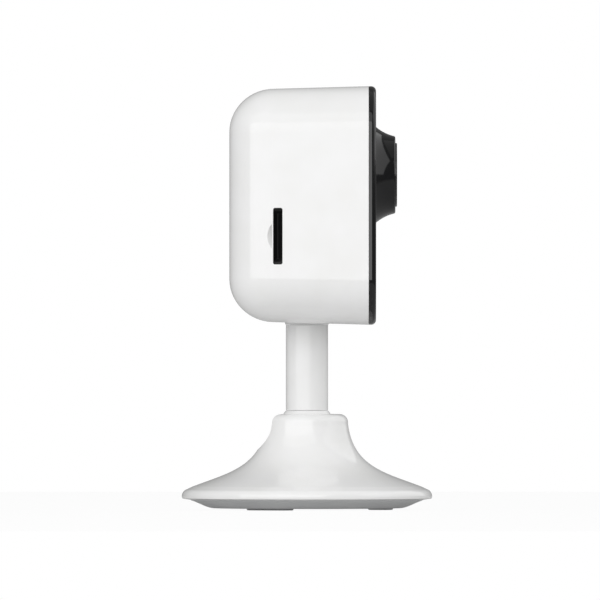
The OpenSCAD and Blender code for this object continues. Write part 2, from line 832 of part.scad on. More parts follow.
// A ribbon that leaves the sensor board's back and curves over to the main board
module sensor_flex() {
  far = main_y[0] - flex_t;
  drop = flex_bend_z[1] - flex_bend_z[0];
  function ease(s) = s * s * (3 - 2 * s);
  path = concat([[0, flex_top_z]],
    [for (i = [0 : flex_steps])
      [far * ease(i / flex_steps), flex_bend_z[0] + drop * i / flex_steps]]);
  back = [for (i = [len(path) - 1 : -1 : 0]) path[i] + [flex_t, 0]];
  color(amber) translate([-flex_w / 2, 0, 0]) rotate([90, 0, 90])
    linear_extrude(flex_w) polygon(concat(path, back));
}

// ---------- light board ----------

module led_board() {
  h = led_board_z[1] - led_board_z[0];
  mid = (led_board_z[0] + led_board_z[1]) / 2;
  color(board_green) difference() {
    facing(led_board_y[1], mid) linear_extrude(board_t)
      round_rect(led_board_w, h, led_board_corner_r);
    bar_y(led_board_y[0] - cut, led_board_y[1] + cut, led_board_hole_r);
    for (at = holder_screws_at)
      bar_y(led_board_y[0] - cut, led_board_y[1] + cut, holder_post_r + 0.3, at[0],
        lens_z + at[1]);
    for (at = led_screws_at)
      bar_y(led_board_y[0] - cut, led_board_y[1] + cut, pilot_r + loose_gap, at[0], at[1]);
  }
}

module led_board_screws() {
  color(steel) for (at = led_screws_at)
    screw_y(led_board_y[1] + screw_head_h, 4.6, at[0], at[1]);
}

module ir_leds() {
  color("#3a2f38") for (x = [-1, 1], dz = led_steps)
    block(led_size, led_board_y[0] - led_h, led_board_y[0], led_size, x * led_x, lens_z + dz);
}

module status_led() {
  color("#e8e4cf") block(status_led_size[0], led_board_y[0] - status_led_size[1],
    led_board_y[0], status_led_size[2], 0, status_z);
}

module light_pipe() {
  color("#dfe6ea") {
    bar_y(face_y, frame_y, pipe_r[0], 0, status_z);
    bar_y(frame_y, frame_y + pipe_r[0], pipe_r[1], 0, status_z);
    bar_y(frame_y + pipe_r[0], led_board_y[0] - pipe_gap, pipe_r[0], 0, status_z);
  }
}

module light_sensor() {
  color("#26302c") block(ambient_size[0], led_board_y[0] - ambient_size[1],
    led_board_y[0], ambient_size[2], ambient_x, status_z);
}

module microphone() {
  color("#c9b98a") block(mic_size[0], led_board_y[0] - mic_size[1], led_board_y[0],
    mic_size[2], 0, mic_z);
}

module mic_gasket() {
  color(black) difference() {
    bar_y(seam_y, led_board_y[0] - mic_size[1], mic_gasket_r, 0, mic_z);
    bar_y(seam_y - cut, led_board_y[0], mic_hole_r, 0, mic_z);
  }
}

// ---------- main board ----------

module main_board() {
  h = main_z[1] - main_z[0];
  color(board_green) difference() {
    facing(main_y[1], (main_z[0] + main_z[1]) / 2) linear_extrude(main_y[1] - main_y[0])
      round_rect(2 * main_half_w, h, main_corner_r);
    for (at = main_screws_at)
      bar_y(main_y[0] - cut, main_y[1] + cut, pilot_r + loose_gap, at[0], at[1]);
  }
}

module main_chips() {
  color(chip_color) for (chip = chips)
    block(chip[0], main_y[0] - chip_h, main_y[0], chip[1], chip[2], chip[3]);
}

module board_screws() {
  color(steel) for (at = main_screws_at) {
    bar_y(main_y[0] - screw_head_h, main_y[0], screw_head_r, at[0], at[1]);
    bar_y(main_y[0], main_screw_end_y, screw_r, at[0], at[1]);
  }
}

module thermal_pad() {
  hot = chips[0];
  color("#7f93b3") block(hot[0], pad_y, main_y[0] - chip_h, hot[1], hot[2], hot[3]);
}

module heat_sink() {
  color(steel) {
    block(sink_size[0], sink_y, pad_y, sink_size[1], 0, sink_z);
    for (i = [0 : fins - 1])
      block(fin_size[0], sink_y - fin_size[1], sink_y, fin_size[2],
        (i - (fins - 1) / 2) * fin_pitch, sink_z);
  }
}

module shield_can() {
  color(steel) difference() {
    block(can_size[0], main_y[1], main_y[1] + can_size[1], can_size[2], can_at[0], can_at[1]);
    block(can_size[0] - 2 * can_wall, main_y[1] - cut, main_y[1] + can_size[1] - can_wall,
      can_size[2] - 2 * can_wall, can_at[0], can_at[1]);
  }
}

module card_socket() {
  color(steel) difference() {
    block(socket_l, main_y[1], main_y[1] + socket_t, socket_h, socket_x + socket_l / 2, slot_z);
    block(2 * card[0], slot_y - card[1] / 2, slot_y + card[1] / 2, card[2], socket_x, slot_z);
  }
}

// The black liner that guides a card from the slot in the flank into its socket
module card_slot_liner() {
  mid = (liner_x[0] + liner_x[1]) / 2;
  thick = liner_x[1] - liner_x[0];
  color(black) difference() {
    block(thick, slot_y - liner_w / 2, slot_y + liner_w / 2, liner_h, mid, slot_z);
    block(2 * thick, slot_y - card[1] / 2, slot_y + card[1] / 2, card[2], mid, slot_z);
  }
}

module power_board() {
  color(board_green) translate([power_board_x[0], power_board_y[0], power_board_z])
    cube([power_board_x[1] - power_board_x[0], power_board_y[1] - power_board_y[0], board_t]);
}

module board_connector() {
  color("#e3dfd2") translate([connector_x, main_y[1], port_board_top]) cube(connector);
}

module power_socket() {
  w = usb[0];
  room = w - 2 * usb_wall;
  mouth = usb_mouth_y - usb[1] + 2 * usb_wall;
  color(steel) difference() {
    translate([-w / 2, usb_mouth_y - usb[1], port_board_top]) cube(usb);
    // the room round the tongue: below it, above it and beside it
    translate([-room / 2, mouth, port_board_top + usb_wall])
      cube([room, usb[1], usb_tongue[0] - usb_wall]);
    translate([-room / 2, mouth, port_board_top + usb_tongue[1]])
      cube([room, usb[1], usb[2] - usb_wall - usb_tongue[1]]);
    for (x = [-1, 1])
      translate([x * (room / 2 - 0.4) - 0.4, mouth, port_board_top + usb_wall])
        cube([0.8, usb[1], usb[2] - 2 * usb_wall]);
  }
}

module reset_switch() {
  color(black) {
    translate([button_x - switch_size[0] / 2, switch_front_y - switch_size[1], port_board_top])
      cube(switch_size);
    bar_y(switch_front_y, plunger_y, plunger_r, button_x, port_z);
  }
}

module reset_button() {
  flange_end_y = back_inner_y - 0.1;
  color(grey) {
    bar_y(button_foot_y, button_flange_y, button_foot_r, button_x, port_z);
    bar_y(button_flange_y, flange_end_y, button_flange_r, button_x, port_z);
    bar_y(flange_end_y, back_y - button_sink, button_r, button_x, port_z);
  }
}

// ---------- sound and radio ----------

module speaker() {
  color(black) {
    difference() {
      bar_y(speaker_y[1], speaker_y[2], speaker_r);
      bar_y(speaker_y[2] - cone_sink, speaker_y[2] + cut, cone_r);
    }
    bar_y(speaker_y[0], speaker_y[1], magnet_r);
  }
}

module speaker_gasket() {
  color(black) difference() {
    bar_y(speaker_y[2], cloth_y, speaker_r);
    bar_y(speaker_y[2] - cut, back_y, gasket_r);
  }
}

module speaker_cloth() {
  color(black) bar_y(cloth_y, cloth_y + cloth_t, speaker_r);
}

module speaker_wires() {
  color("#a33226") for (side = [-1, 1])
    bar_y(main_y[1], speaker_y[1], wire_r, side * wire_x, lens_z - speaker_r + 1);
}

module wifi_antenna() {
  color(amber) translate(antenna_at) cube(antenna);
}

module antenna_cable() {
  color(black) {
    translate(cable_at) rotate([0, 90, 0])
      cylinder(h = antenna_at[0] - cable_at[0], r = cable_r);
    translate(cable_at) sphere(r = cable_r);
    bar_y(cable_at[1], main_y[0], cable_r, cable_at[0], cable_at[2]);
  }
}

base_shell();
base_cover();
foot_pads();
base_weight();
ball_retainer();
friction_washers();
retainer_screws();
cover_screws();
pivot_ball();
hinge_pins();
stem();
stem_washer();
stem_screw();
neck_screw();
rear_housing();
front_frame();
frame_screws();
front_cover();
lens_shroud();
lens_trim_ring();
lens_cover_glass();
lens_barrel();
front_lens();
rear_lens();
lens_holder();
holder_screws();
ir_cut_coil();
filter_slider();
ir_filter_glass();
clear_filter_glass();
image_sensor();
sensor_board();
sensor_flex();
led_board();
led_board_screws();
ir_leds();
status_led();
light_pipe();
light_sensor();
microphone();
mic_gasket();
main_board();
main_chips();
board_screws();
thermal_pad();
heat_sink();
shield_can();
card_socket();
power_board();
board_connector();
power_socket();
reset_switch();
reset_button();
speaker();
speaker_gasket();
speaker_cloth();
speaker_wires();
card_slot_liner();
wifi_antenna();
antenna_cable();
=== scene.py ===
import json
import math

import bmesh
import bpy
from mathutils import Matrix, Vector


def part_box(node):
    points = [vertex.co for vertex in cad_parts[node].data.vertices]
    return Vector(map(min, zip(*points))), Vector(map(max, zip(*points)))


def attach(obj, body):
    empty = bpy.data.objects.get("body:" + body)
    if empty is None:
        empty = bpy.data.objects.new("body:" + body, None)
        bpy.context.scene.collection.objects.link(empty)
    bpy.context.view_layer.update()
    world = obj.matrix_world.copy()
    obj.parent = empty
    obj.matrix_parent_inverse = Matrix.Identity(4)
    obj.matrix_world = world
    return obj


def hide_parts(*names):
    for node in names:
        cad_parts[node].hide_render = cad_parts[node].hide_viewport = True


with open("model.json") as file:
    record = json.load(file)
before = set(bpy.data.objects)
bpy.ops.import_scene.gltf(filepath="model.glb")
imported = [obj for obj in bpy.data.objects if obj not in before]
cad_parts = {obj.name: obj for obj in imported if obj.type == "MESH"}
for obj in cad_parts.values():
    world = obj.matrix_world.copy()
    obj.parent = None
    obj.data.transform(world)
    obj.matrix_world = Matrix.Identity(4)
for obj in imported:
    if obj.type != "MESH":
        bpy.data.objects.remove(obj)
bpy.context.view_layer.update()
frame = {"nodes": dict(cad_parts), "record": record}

# %% [markdown]
# The object is a small indoor security camera: a square head on a stem, which swivels and folds
# in a round base. This script asks the engineering model for corners and works in millimetres.
# Each finished mesh is scaled to metres once, at the end.

# %% Sizes from the engineering model
MM = 0.001


def box_mm(node_name):
    """A node's lowest and highest corner, in millimetres."""
    low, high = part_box(node_name)
    return low / MM, high / MM


head_low, head_high = box_mm("rear_housing")
cover_low, cover_high = box_mm("front_cover")
glass_low, glass_high = box_mm("lens_cover_glass")
stem_low, stem_high = box_mm("stem")
SEAM_Y = head_low.y
BACK_Y = head_high.y
FACE_Y = cover_low.y
HEAD_HALF = (cover_high.z - cover_low.z) / 2
HEAD_Z = (cover_high.z + cover_low.z) / 2
LENS_Z = (glass_low.z + glass_high.z) / 2
print(f"head {2 * HEAD_HALF:.1f} mm square, centre {HEAD_Z:.1f} mm up, lens {LENS_Z:.1f} mm up")

# %% [markdown]
# The view is a straight side view from almost 5 m away, through a long lens. That keeps the
# perspective flat, and the near and far flanks line up. The camera is level with the middle
# of the object, on its -X side.

# %% Camera
VIEW_WIDTH = 146.2
VIEW_CENTRE = Vector((0.0, 1.7, 51.1))
AWAY = Vector((-1.0, 0.0, 0.0))
SENSOR = 36.0
LENS = 1200.0
CLIP_NEAR = 0.05

camera_data = bpy.data.cameras.new("Camera")
camera_data.sensor_width = SENSOR
camera_data.lens = LENS
camera = bpy.data.objects.new("Camera", camera_data)
bpy.context.scene.collection.objects.link(camera)
bpy.context.scene.camera = camera
distance = VIEW_WIDTH * LENS / SENSOR
camera.location = (VIEW_CENTRE + AWAY * distance) * MM
camera.rotation_euler = (-AWAY).to_track_quat("-Z", "Y").to_euler()
camera_data.clip_start = CLIP_NEAR
print(f"camera {distance:.0f} mm away")

# %% [markdown]
# Glossy plastic shows the studio in it, so the lights are laid out for their reflections. A
# bright softbox stands beside the camera, mostly towards the back of the head, with a dimmer
# one above it. A third stands in front of the lens, and a dim one hangs overhead. The dark gap
# between the first and the third draws the dark line down the cover's edge. The world is grey
# to the object and white to the camera. Azimuths go round the object, with the camera at 270,
# and each softbox has its width and height in metres.

# %% Studio lights
REACH = 1.0
SOFTBOXES = {
    "Key": {"azimuth": 246.5, "rise": 14, "width": 1.65, "height": 0.56, "glow": 2.0},
    "Key_upper": {"azimuth": 246.5, "rise": 42, "width": 1.65, "height": 0.4, "glow": 0.85},
    "Top": {"azimuth": 270, "rise": 88, "width": 1.4, "height": 1.3, "glow": 0.18},
    "Front": {"azimuth": 9, "rise": 26, "width": 1.86, "height": 0.88, "glow": 0.9},
}
WORLD_GREY = 0.4
WORLD_IN_GLOSS = 0.18


def softbox(name, azimuth, rise, width, height, glow):
    """A rectangular light whose face has an even brightness of glow."""
    data = bpy.data.lights.new(name, "AREA")
    data.shape = "RECTANGLE"
    data.size = width
    data.size_y = height
    data.energy = glow * math.pi * width * height
    a, e = math.radians(azimuth), math.radians(rise)
    towards = Vector((math.sin(a) * math.cos(e), -math.cos(a) * math.cos(e), math.sin(e)))
    light = bpy.data.objects.new(name, data)
    light.location = VIEW_CENTRE * MM + towards * REACH
    light.rotation_euler = towards.to_track_quat("Z", "Y").to_euler()
    light.visible_camera = False
    bpy.context.scene.collection.objects.link(light)
    return light


for name, settings in SOFTBOXES.items():
    softbox(name, **settings)
bpy.context.scene.view_settings.view_transform = "Standard"

# %% [markdown]
# Every finish is a small tree of shader nodes. One function adds a node: its inputs go by name
# or number, each a value or another node's output. Colours are hex values, and one function
# turns them to the linear values that light uses.

# %% Shader helpers
WAVE_TURN = math.tau / 20    # a wave texture repeats this far apart at a scale of 1


def linear(hex_colour):
    """A hex sRGB colour as the linear RGBA that a shader takes."""
    parts = [int(hex_colour[i:i + 2], 16) / 255 for i in (1, 3, 5)]
    return [c / 12.92 if c <= 0.04045 else ((c + 0.055) / 1.055) ** 2.4 for c in parts] + [1.0]


def node(tree, kind, inputs=None, **settings):
    """Adds one shader node with its own settings and its inputs' values or links."""
    made = tree.nodes.new("ShaderNode" + kind)
    for key, value in settings.items():
        setattr(made, key, value)
    for key, value in (inputs or {}).items():
        if isinstance(value, bpy.types.NodeSocket):
            tree.links.new(value, made.inputs[key])
        else:
            made.inputs[key].default_value = value
    return made


def per(size_mm):
    """The texture scale that gives features of this size."""
    return 1.0 / (size_mm * MM)


def between(low, high):
    """Range settings that stretch a noise from low to high."""
    return {"From Min": 0.3, "From Max": 0.7, "To Min": low, "To Max": high}


def shades(first, second):
    """The two colours that a mix goes between, from their hex values."""
    return {6: linear(first), 7: linear(second)}


def start_finish(name):
    """An empty material, its tree, and the coordinates of the piece in metres."""
    material = bpy.data.materials.new(name)
    material.use_nodes = True
    tree = material.node_tree
    tree.nodes.clear()
    return material, tree, node(tree, "TexCoord").outputs["Object"]


def end_finish(material, shader):
    """Joins the shader to the material's output."""
    node(material.node_tree, "OutputMaterial", {"Surface": shader.outputs[0]})
    return material


print("shader helpers ready")

# %% [markdown]
# Moulded plastic copies its tool's surface. A polished tool leaves a mirror with a trace of
# waviness, and a spark-eroded one leaves a fine grain. So one recipe serves every moulding: a
# slow drift of colour, a grain of a real size, and a gloss that varies.

# %% Moulded plastics
FLOW_MM = 9.0             # how far apart the colour and the ripple drift
GLOSS_DRIFT, GLOSS_GRAIN = 0.1, 0.12
COAT_GLOSS = 0.05


def moulded(name, colour, drift, gloss, grain_mm, grain, ior=1.53, wave=0.0, coat=0.0):
    """Injection moulded plastic. gloss is its roughness, grain and wave the bump's depths in mm."""
    material, tree, where = start_finish(name)
    slow = node(tree, "TexNoise", {"Vector": where, "Scale": per(FLOW_MM)}).outputs["Fac"]
    fine = node(tree, "TexNoise", {"Vector": where, "Scale": per(grain_mm), "Detail": 3.0,
                                   "Roughness": 0.6}).outputs["Fac"]
    share = node(tree, "MapRange", {"Value": slow, **between(0, 1)})
    tone = node(tree, "Mix", {0: share.outputs[0], **shades(colour, drift)}, data_type="RGBA")
    drifting = node(tree, "MapRange", {
        "Value": slow, **between(gloss * (1 - GLOSS_DRIFT), gloss * (1 + GLOSS_DRIFT))})
    speckled = node(tree, "MapRange", {
        "Value": fine, **between(-gloss * GLOSS_GRAIN, gloss * GLOSS_GRAIN)})
    rough = node(tree, "Math", {0: drifting.outputs[0], 1: speckled.outputs[0]})
    texture = node(tree, "Bump", {"Height": fine, "Distance": grain * MM, "Strength": 1.0})
    ripple = node(tree, "Bump", {"Height": slow, "Distance": wave * MM, "Strength": 1.0,
                                 "Normal": texture.outputs[0]})
    shader = node(tree, "BsdfPrincipled", {
        "Base Color": tone.outputs[2], "Roughness": rough.outputs[0], "IOR": ior,
        "Normal": ripple.outputs[0], "Coat Weight": coat, "Coat Roughness": COAT_GLOSS})
    return end_finish(material, shader)


# Each row: name, colour, drifted colour, gloss, size of the grain, depth of the grain
FINISH = {
    "white_abs": moulded("White_ABS_semi_gloss", "#f4f4f4", "#f1f1f0", 0.13, 0.16, 0.0006,
                         wave=0.006),
    "black_gloss": moulded("Black_polycarbonate_polished", "#0a0a0b", "#08080a", 0.05, 0.3,
                           0.0002, ior=1.58, wave=0.002),
    "black_satin": moulded("Black_ABS_fine_satin", "#0f0f11", "#0c0c0e", 0.1, 0.14, 0.0005,
                           wave=0.001),
    "black_matte": moulded("Black_ABS_eroded_matte", "#0b0b0c", "#080809", 0.5, 0.12, 0.004),
    "grey_abs": moulded("Grey_ABS_matte", "#dadbdb", "#d4d5d6", 0.42, 0.14, 0.002),
    "button_grey": moulded("Grey_ABS_button", "#8e9093", "#85878a", 0.35, 0.12, 0.0015),
    "chip_epoxy": moulded("Black_moulding_compound", "#1c1c1e", "#242426", 0.6, 0.08, 0.004),
    "ivory_nylon": moulded("Ivory_nylon", "#dcd5c0", "#d3cbb4", 0.4, 0.12, 0.0015),
    "wire_pvc": moulded("Red_PVC_insulation", "#9c2b20", "#8c2219", 0.38, 0.1, 0.001),
    "gap_pad": moulded("Blue_grey_silicone_pad", "#76849f", "#69778f", 0.7, 0.2, 0.006),
    "led_epoxy": moulded("Smoked_infrared_epoxy", "#2b2129", "#221a21", 0.12, 0.3, 0.0003,
                         coat=0.5),
}
print("moulded finishes:", len(FINISH))

# %% [markdown]
# The feet are silicone rubber. It is matt and slightly dusty, its moulding skin has a fine
# pebble, and the pad's face carries small round studs 1.2 mm apart that grip the table. A
# Voronoi texture, with one round spot in each cell, draws them.

# %% Silicone rubber
DUST_MM, PEBBLE_MM, PEBBLE_DEPTH = 2.5, 0.12, 0.006
STUD_PITCH, STUD_HEIGHT = 1.2, 0.06
STUD_INNER, STUD_OUTER = 0.2, 0.42    # the stud's flat top and its foot, as shares of the pitch


def silicone(name):
    """Grey silicone rubber with a studded face."""
    material, tree, where = start_finish(name)
    dust = node(tree, "TexNoise", {"Vector": where, "Scale": per(DUST_MM),
                                   "Detail": 3.0}).outputs["Fac"]
    pebble = node(tree, "TexNoise", {"Vector": where, "Scale": per(PEBBLE_MM)}).outputs["Fac"]
    studs = node(tree, "TexVoronoi", {"Vector": where, "Scale": per(STUD_PITCH),
                                      "Randomness": 0.0})
    raised = node(tree, "MapRange", {
        "Value": studs.outputs["Distance"], "From Min": STUD_INNER, "From Max": STUD_OUTER,
        "To Min": 1.0, "To Max": 0.0})
    share = node(tree, "MapRange", {"Value": dust, **between(0, 1)})
    tone = node(tree, "Mix", {0: share.outputs[0], **shades("#a2a3a4", "#adaeaf")},
                data_type="RGBA")
    rough = node(tree, "MapRange", {"Value": dust, **between(0.62, 0.78)})
    skin = node(tree, "Bump", {"Height": pebble, "Distance": PEBBLE_DEPTH * MM,
                               "Strength": 1.0})
    grip = node(tree, "Bump", {"Height": raised.outputs[0], "Distance": STUD_HEIGHT * MM,
                               "Strength": 1.0, "Normal": skin.outputs[0]})
    shader = node(tree, "BsdfPrincipled", {
        "Base Color": tone.outputs[2], "Roughness": rough.outputs[0], "IOR": 1.41,
        "Sheen Weight": 0.15, "Normal": grip.outputs[0]})
    return end_finish(material, shader)


FINISH["soft_rubber"] = silicone("Grey_silicone_rubber")
print("rubber ready")

# %% [markdown]
# The metals differ in how they were made. Zinc plate on a screw is bright and slightly cloudy.
# Tinned sheet shows how it was rolled, so its noise is stretched along one axis. Enamelled
# wire lies in turns, which a wave texture draws at the wire's real pitch of 0.2 mm. A metal's
# colour is its reflection, so metallic is 1 and IOR stays alone.

# %% Metals
BLOOM_MM = 3.0
WIRE_PITCH, WIRE_DEPTH = 0.2, 0.08


def metal(name, colour, cloud, gloss, stretch=(1.0, 1.0, 1.0), grain_mm=0.3, depth=0.002):
    """Bare or plated metal. Its grain is long on the axes where stretch is large."""
    material, tree, where = start_finish(name)
    along = node(tree, "Mapping", {"Vector": where, "Scale": [1 / s for s in stretch]})
    grain = node(tree, "TexNoise", {"Vector": along.outputs[0], "Scale": per(grain_mm),
                                    "Detail": 4.0, "Roughness": 0.65}).outputs["Fac"]
    bloom = node(tree, "TexNoise", {"Vector": where, "Scale": per(BLOOM_MM), "Detail": 3.0})
    share = node(tree, "MapRange", {"Value": bloom.outputs["Fac"], **between(0, 1)})
    tone = node(tree, "Mix", {0: share.outputs[0], **shades(colour, cloud)}, data_type="RGBA")
    rough = node(tree, "MapRange", {"Value": grain, **between(gloss * 0.8, gloss * 1.25)})
    bump = node(tree, "Bump", {"Height": grain, "Distance": depth * MM, "Strength": 1.0})
    shader = node(tree, "BsdfPrincipled", {
        "Base Color": tone.outputs[2], "Metallic": 1.0, "Normal": bump.outputs[0],
        "Roughness": rough.outputs[0]})
    return end_finish(material, shader)


def wound_copper(name):
    """A coil of enamelled copper wire. Its colour darkens in the grooves between turns: painted
    shade.
    """
    material, tree, where = start_finish(name)
    turns = node(tree, "TexWave", {"Vector": where, "Scale": per(WIRE_PITCH) * WAVE_TURN,
                                   "Distortion": 0.3}, bands_direction="X")
    # The colour follows the bump's wave: the dark copper in the grooves between turns is painted
    # shade.
    tone = node(tree, "Mix", {0: turns.outputs["Fac"], **shades("#7a3f1c", "#c07a3f")},
                data_type="RGBA")
    bump = node(tree, "Bump", {"Height": turns.outputs["Fac"], "Distance": WIRE_DEPTH * MM})
    shader = node(tree, "BsdfPrincipled", {
        "Base Color": tone.outputs[2], "Metallic": 1.0, "Roughness": 0.3,
        "Normal": bump.outputs[0], "Coat Weight": 0.6, "Coat Roughness": 0.1})
    return end_finish(material, shader)


FINISH["zinc_steel"] = metal("Zinc_plated_steel", "#c6c8cb", "#b5b8ba", 0.28)
FINISH["tinned_steel"] = metal("Tinned_steel_sheet", "#cfcfcd", "#bfbfbc", 0.24, (30, 1, 1), 0.2)
FINISH["heat_aluminium"] = metal("Satin_aluminium", "#c9cbcd", "#bdbfc2", 0.38, (1, 1, 25), 0.15)
FINISH["coil_copper"] = wound_copper("Enamelled_copper_wire")
print("metals ready")

# %% [markdown]
# The clear parts pass light, so their shader's transmission is 1 and their IOR is the glass's
# own. A lens coating is a film a few hundred nanometres thick that tints the reflection, and the
# shader has it built in. Faint wipe marks vary the roughness.

# %% Clear parts
WIPE_MM, WIPE_BLUR, WIPE_TINT = 3.0, 0.02, 0.1
FILM_IOR = 1.38           # magnesium fluoride, the usual coating


def clear(name, tint, ior, rough=0.01, film=0.0):
    """Glass or clear acrylic, with a coating film thickness in nanometres."""
    material, tree, where = start_finish(name)
    wipes = node(tree, "TexNoise", {"Vector": where, "Scale": per(WIPE_MM),
                                    "Detail": 4.0}).outputs["Fac"]
    share = node(tree, "MapRange", {"Value": wipes, **between(0, WIPE_TINT)})
    tone = node(tree, "Mix", {0: share.outputs[0], **shades(tint, "#ffffff")},
                data_type="RGBA")
    blur = node(tree, "MapRange", {"Value": wipes, **between(rough, rough + WIPE_BLUR)})
    shader = node(tree, "BsdfPrincipled", {
        "Base Color": tone.outputs[2], "Transmission Weight": 1.0, "IOR": ior,
        "Roughness": blur.outputs[0],
        "Thin Film Thickness": film, "Thin Film IOR": FILM_IOR})
    return end_finish(material, shader)


FINISH["lens_glass"] = clear("Coated_optical_glass", "#dfe6f2", 1.62, film=480.0)
FINISH["cover_glass"] = clear("Tinted_cover_glass", "#d7dade", 1.52)
FINISH["filter_cyan"] = clear("Infrared_cut_glass", "#9fd6dc", 1.52, film=620.0)
FINISH["filter_clear"] = clear("Plain_filter_glass", "#f4f8f8", 1.52)
FINISH["clear_pmma"] = clear("Frosted_clear_acrylic", "#eef2f2", 1.49, rough=0.22)
print("clear finishes ready")

# %% [markdown]
# The rest are patterned. A circuit board is green lacquer over copper tracks 0.2 mm wide, with
# tinned pads, and the tracks are slightly raised. The flex is amber film over copper lines. The
# sensor shows fine lines under glass. The speaker's cloth is a plain weave.

# %% Patterned finishes
HAZE_MM, FILM_HAZE_MM = 1.0, 0.8    # how far apart the gloss varies
BUNDLE_MM, LANES, TRACK_SHARE, TRACK_HEIGHT = 3.2, 7.0, 0.45, 0.02
PAD_PITCH, PAD_SHARE = 1.9, 0.13
THREAD_DEPTH = 0.08


def circuit_board(name):
    """Green solder mask over copper tracks, with tinned pads."""
    material, tree, where = start_finish(name)
    blocks = node(tree, "TexVoronoi", {"Vector": where, "Scale": per(BUNDLE_MM)},
                  distance="MANHATTAN", feature="F1")
    lanes = node(tree, "Math", {0: blocks.outputs["Distance"], 1: LANES}, operation="MULTIPLY")
    cycle = node(tree, "Math", {0: lanes.outputs[0]}, operation="FRACT")
    track = node(tree, "Math", {0: cycle.outputs[0], 1: TRACK_SHARE}, operation="LESS_THAN")
    spots = node(tree, "TexVoronoi", {"Vector": where, "Scale": per(PAD_PITCH)})
    pad = node(tree, "Math", {0: spots.outputs["Distance"], 1: PAD_SHARE},
               operation="LESS_THAN")
    mask = node(tree, "Mix", {0: track.outputs[0], **shades("#123f26", "#1d5c39")},
                data_type="RGBA")
    tone = node(tree, "Mix", {0: pad.outputs[0], 6: mask.outputs[2],
                              7: linear("#c9c6b8")}, data_type="RGBA")
    haze = node(tree, "TexNoise", {"Vector": where, "Scale": per(HAZE_MM)})
    rough = node(tree, "MapRange", {"Value": haze.outputs["Fac"], **between(0.25, 0.38)})
    bump = node(tree, "Bump", {"Height": track.outputs[0], "Distance": TRACK_HEIGHT * MM})
    shader = node(tree, "BsdfPrincipled", {
        "Base Color": tone.outputs[2], "Roughness": rough.outputs[0],
        "Metallic": pad.outputs[0], "Normal": bump.outputs[0], "Coat Weight": 0.4})
    return end_finish(material, shader)


def banded(name, dark, light, pitch_mm, direction, gloss):
    """Film over fine parallel lines of this pitch."""
    material, tree, where = start_finish(name)
    lines = node(tree, "TexWave", {"Vector": where, "Scale": per(pitch_mm) * WAVE_TURN},
                 bands_direction=direction)
    tone = node(tree, "Mix", {0: lines.outputs["Fac"], **shades(dark, light)},
                data_type="RGBA")
    haze = node(tree, "TexNoise", {"Vector": where, "Scale": per(FILM_HAZE_MM)})
    rough = node(tree, "MapRange", {"Value": haze.outputs["Fac"],
                                    **between(gloss, gloss * 1.4)})
    shader = node(tree, "BsdfPrincipled", {
        "Base Color": tone.outputs[2], "Coat Weight": 0.5, "Roughness": rough.outputs[0]})
    return end_finish(material, shader)


def woven(name, pitch_mm):
    """Acoustic cloth: two sets of threads at right angles, in the X-Z plane. Its colour is darker
    in
    the hollows between crossings: painted shade.
    """
    material, tree, where = start_finish(name)
    warp, weft = [
        node(tree, "TexWave", {"Vector": where, "Scale": per(pitch_mm) * WAVE_TURN},
             bands_direction=axis).outputs["Fac"] for axis in ("X", "Z")]
    weave_and_hollow_shade = node(tree, "Math", {0: warp, 1: weft}, operation="MULTIPLY").outputs[0]
    # Near-black in the hollows and lighter on the raised crossings: painted shade, on the bump's
    # own pattern.
    tone = node(tree, "Mix", {0: weave_and_hollow_shade, **shades("#08080a", "#2b2b2e")}, data_type="RGBA")
    bump = node(tree, "Bump", {"Height": weave_and_hollow_shade, "Distance": THREAD_DEPTH * MM})
    shader = node(tree, "BsdfPrincipled", {
        "Base Color": tone.outputs[2], "Roughness": 0.85, "Sheen Weight": 0.3,
        "Normal": bump.outputs[0]})
    return end_finish(material, shader)


FINISH["circuit_board"] = circuit_board("Green_solder_mask")
FINISH["polyimide"] = banded("Amber_polyimide_flex", "#8c4f16", "#bb7a2c", 0.5, "X", 0.28)
FINISH["sensor_silicon"] = banded("Silicon_under_glass", "#20332f", "#38494a", 0.3, "X", 0.06)
FINISH["acoustic_cloth"] = woven("Black_acoustic_cloth", 0.3)
missing = {s["material_slot"] for s in frame["record"]["subparts"]} - set(FINISH)
print("finishes:", len(FINISH), "missing:", missing)

# %% [markdown]
# Every part of the engineering model gets the finish of its slot, the inside parts too.

# %% Give every engineering node its finish
for row in frame["record"]["subparts"]:
    mesh = frame["nodes"][row["node"]].data
    mesh.materials.clear()
    mesh.materials.append(FINISH[row["material_slot"]])

# %% [markdown]
# Now the visible pieces are modelled again, finer than an engineering mesh. Most are either
# turned, like the base and the lens, or a box with rounded edges. So the helpers turn an
# outline about an axis, make a rounded box, and cut holes with cores, as a mould does. A last
# helper scales a piece to metres and hands it over.

# %% Modelling helpers
TOUCH = 1e-4              # points closer than this, in millimetres, are one point
PAST = 1.0                # how far a core stands out past the surface
TOWARDS_FRONT = Matrix.Rotation(math.radians(90), 4, "X")
TOWARDS_BACK = Matrix.Rotation(math.radians(-90), 4, "X")
TOWARDS_LEFT = Matrix.Rotation(math.radians(-90), 4, "Y")


def arc(centre_r, centre_h, r, start, end, steps):
    """Points along an arc, angles in degrees from the outward direction."""
    turns = [math.radians(start + (end - start) * i / steps) for i in range(steps + 1)]
    return [(centre_r + r * math.cos(a), centre_h + r * math.sin(a)) for a in turns]


def curve(a, b, c, d, steps):
    """Points along a cubic curve from a to d, pulled by b and c."""
    ends = [Vector(p) for p in (a, b, c, d)]
    weights = [((1 - t) ** 3, 3 * (1 - t) ** 2 * t, 3 * (1 - t) * t * t, t ** 3)
               for t in (i / steps for i in range(steps + 1))]
    return [tuple(sum((p * w for p, w in zip(ends, row)), Vector((0, 0)))) for row in weights]


def place(bm, turn=Matrix.Identity(4), spot=(0, 0, 0)):
    """Turns and then moves a whole mesh."""
    bmesh.ops.transform(bm, matrix=Matrix.Translation(spot) @ turn, verts=bm.verts)
    return bm


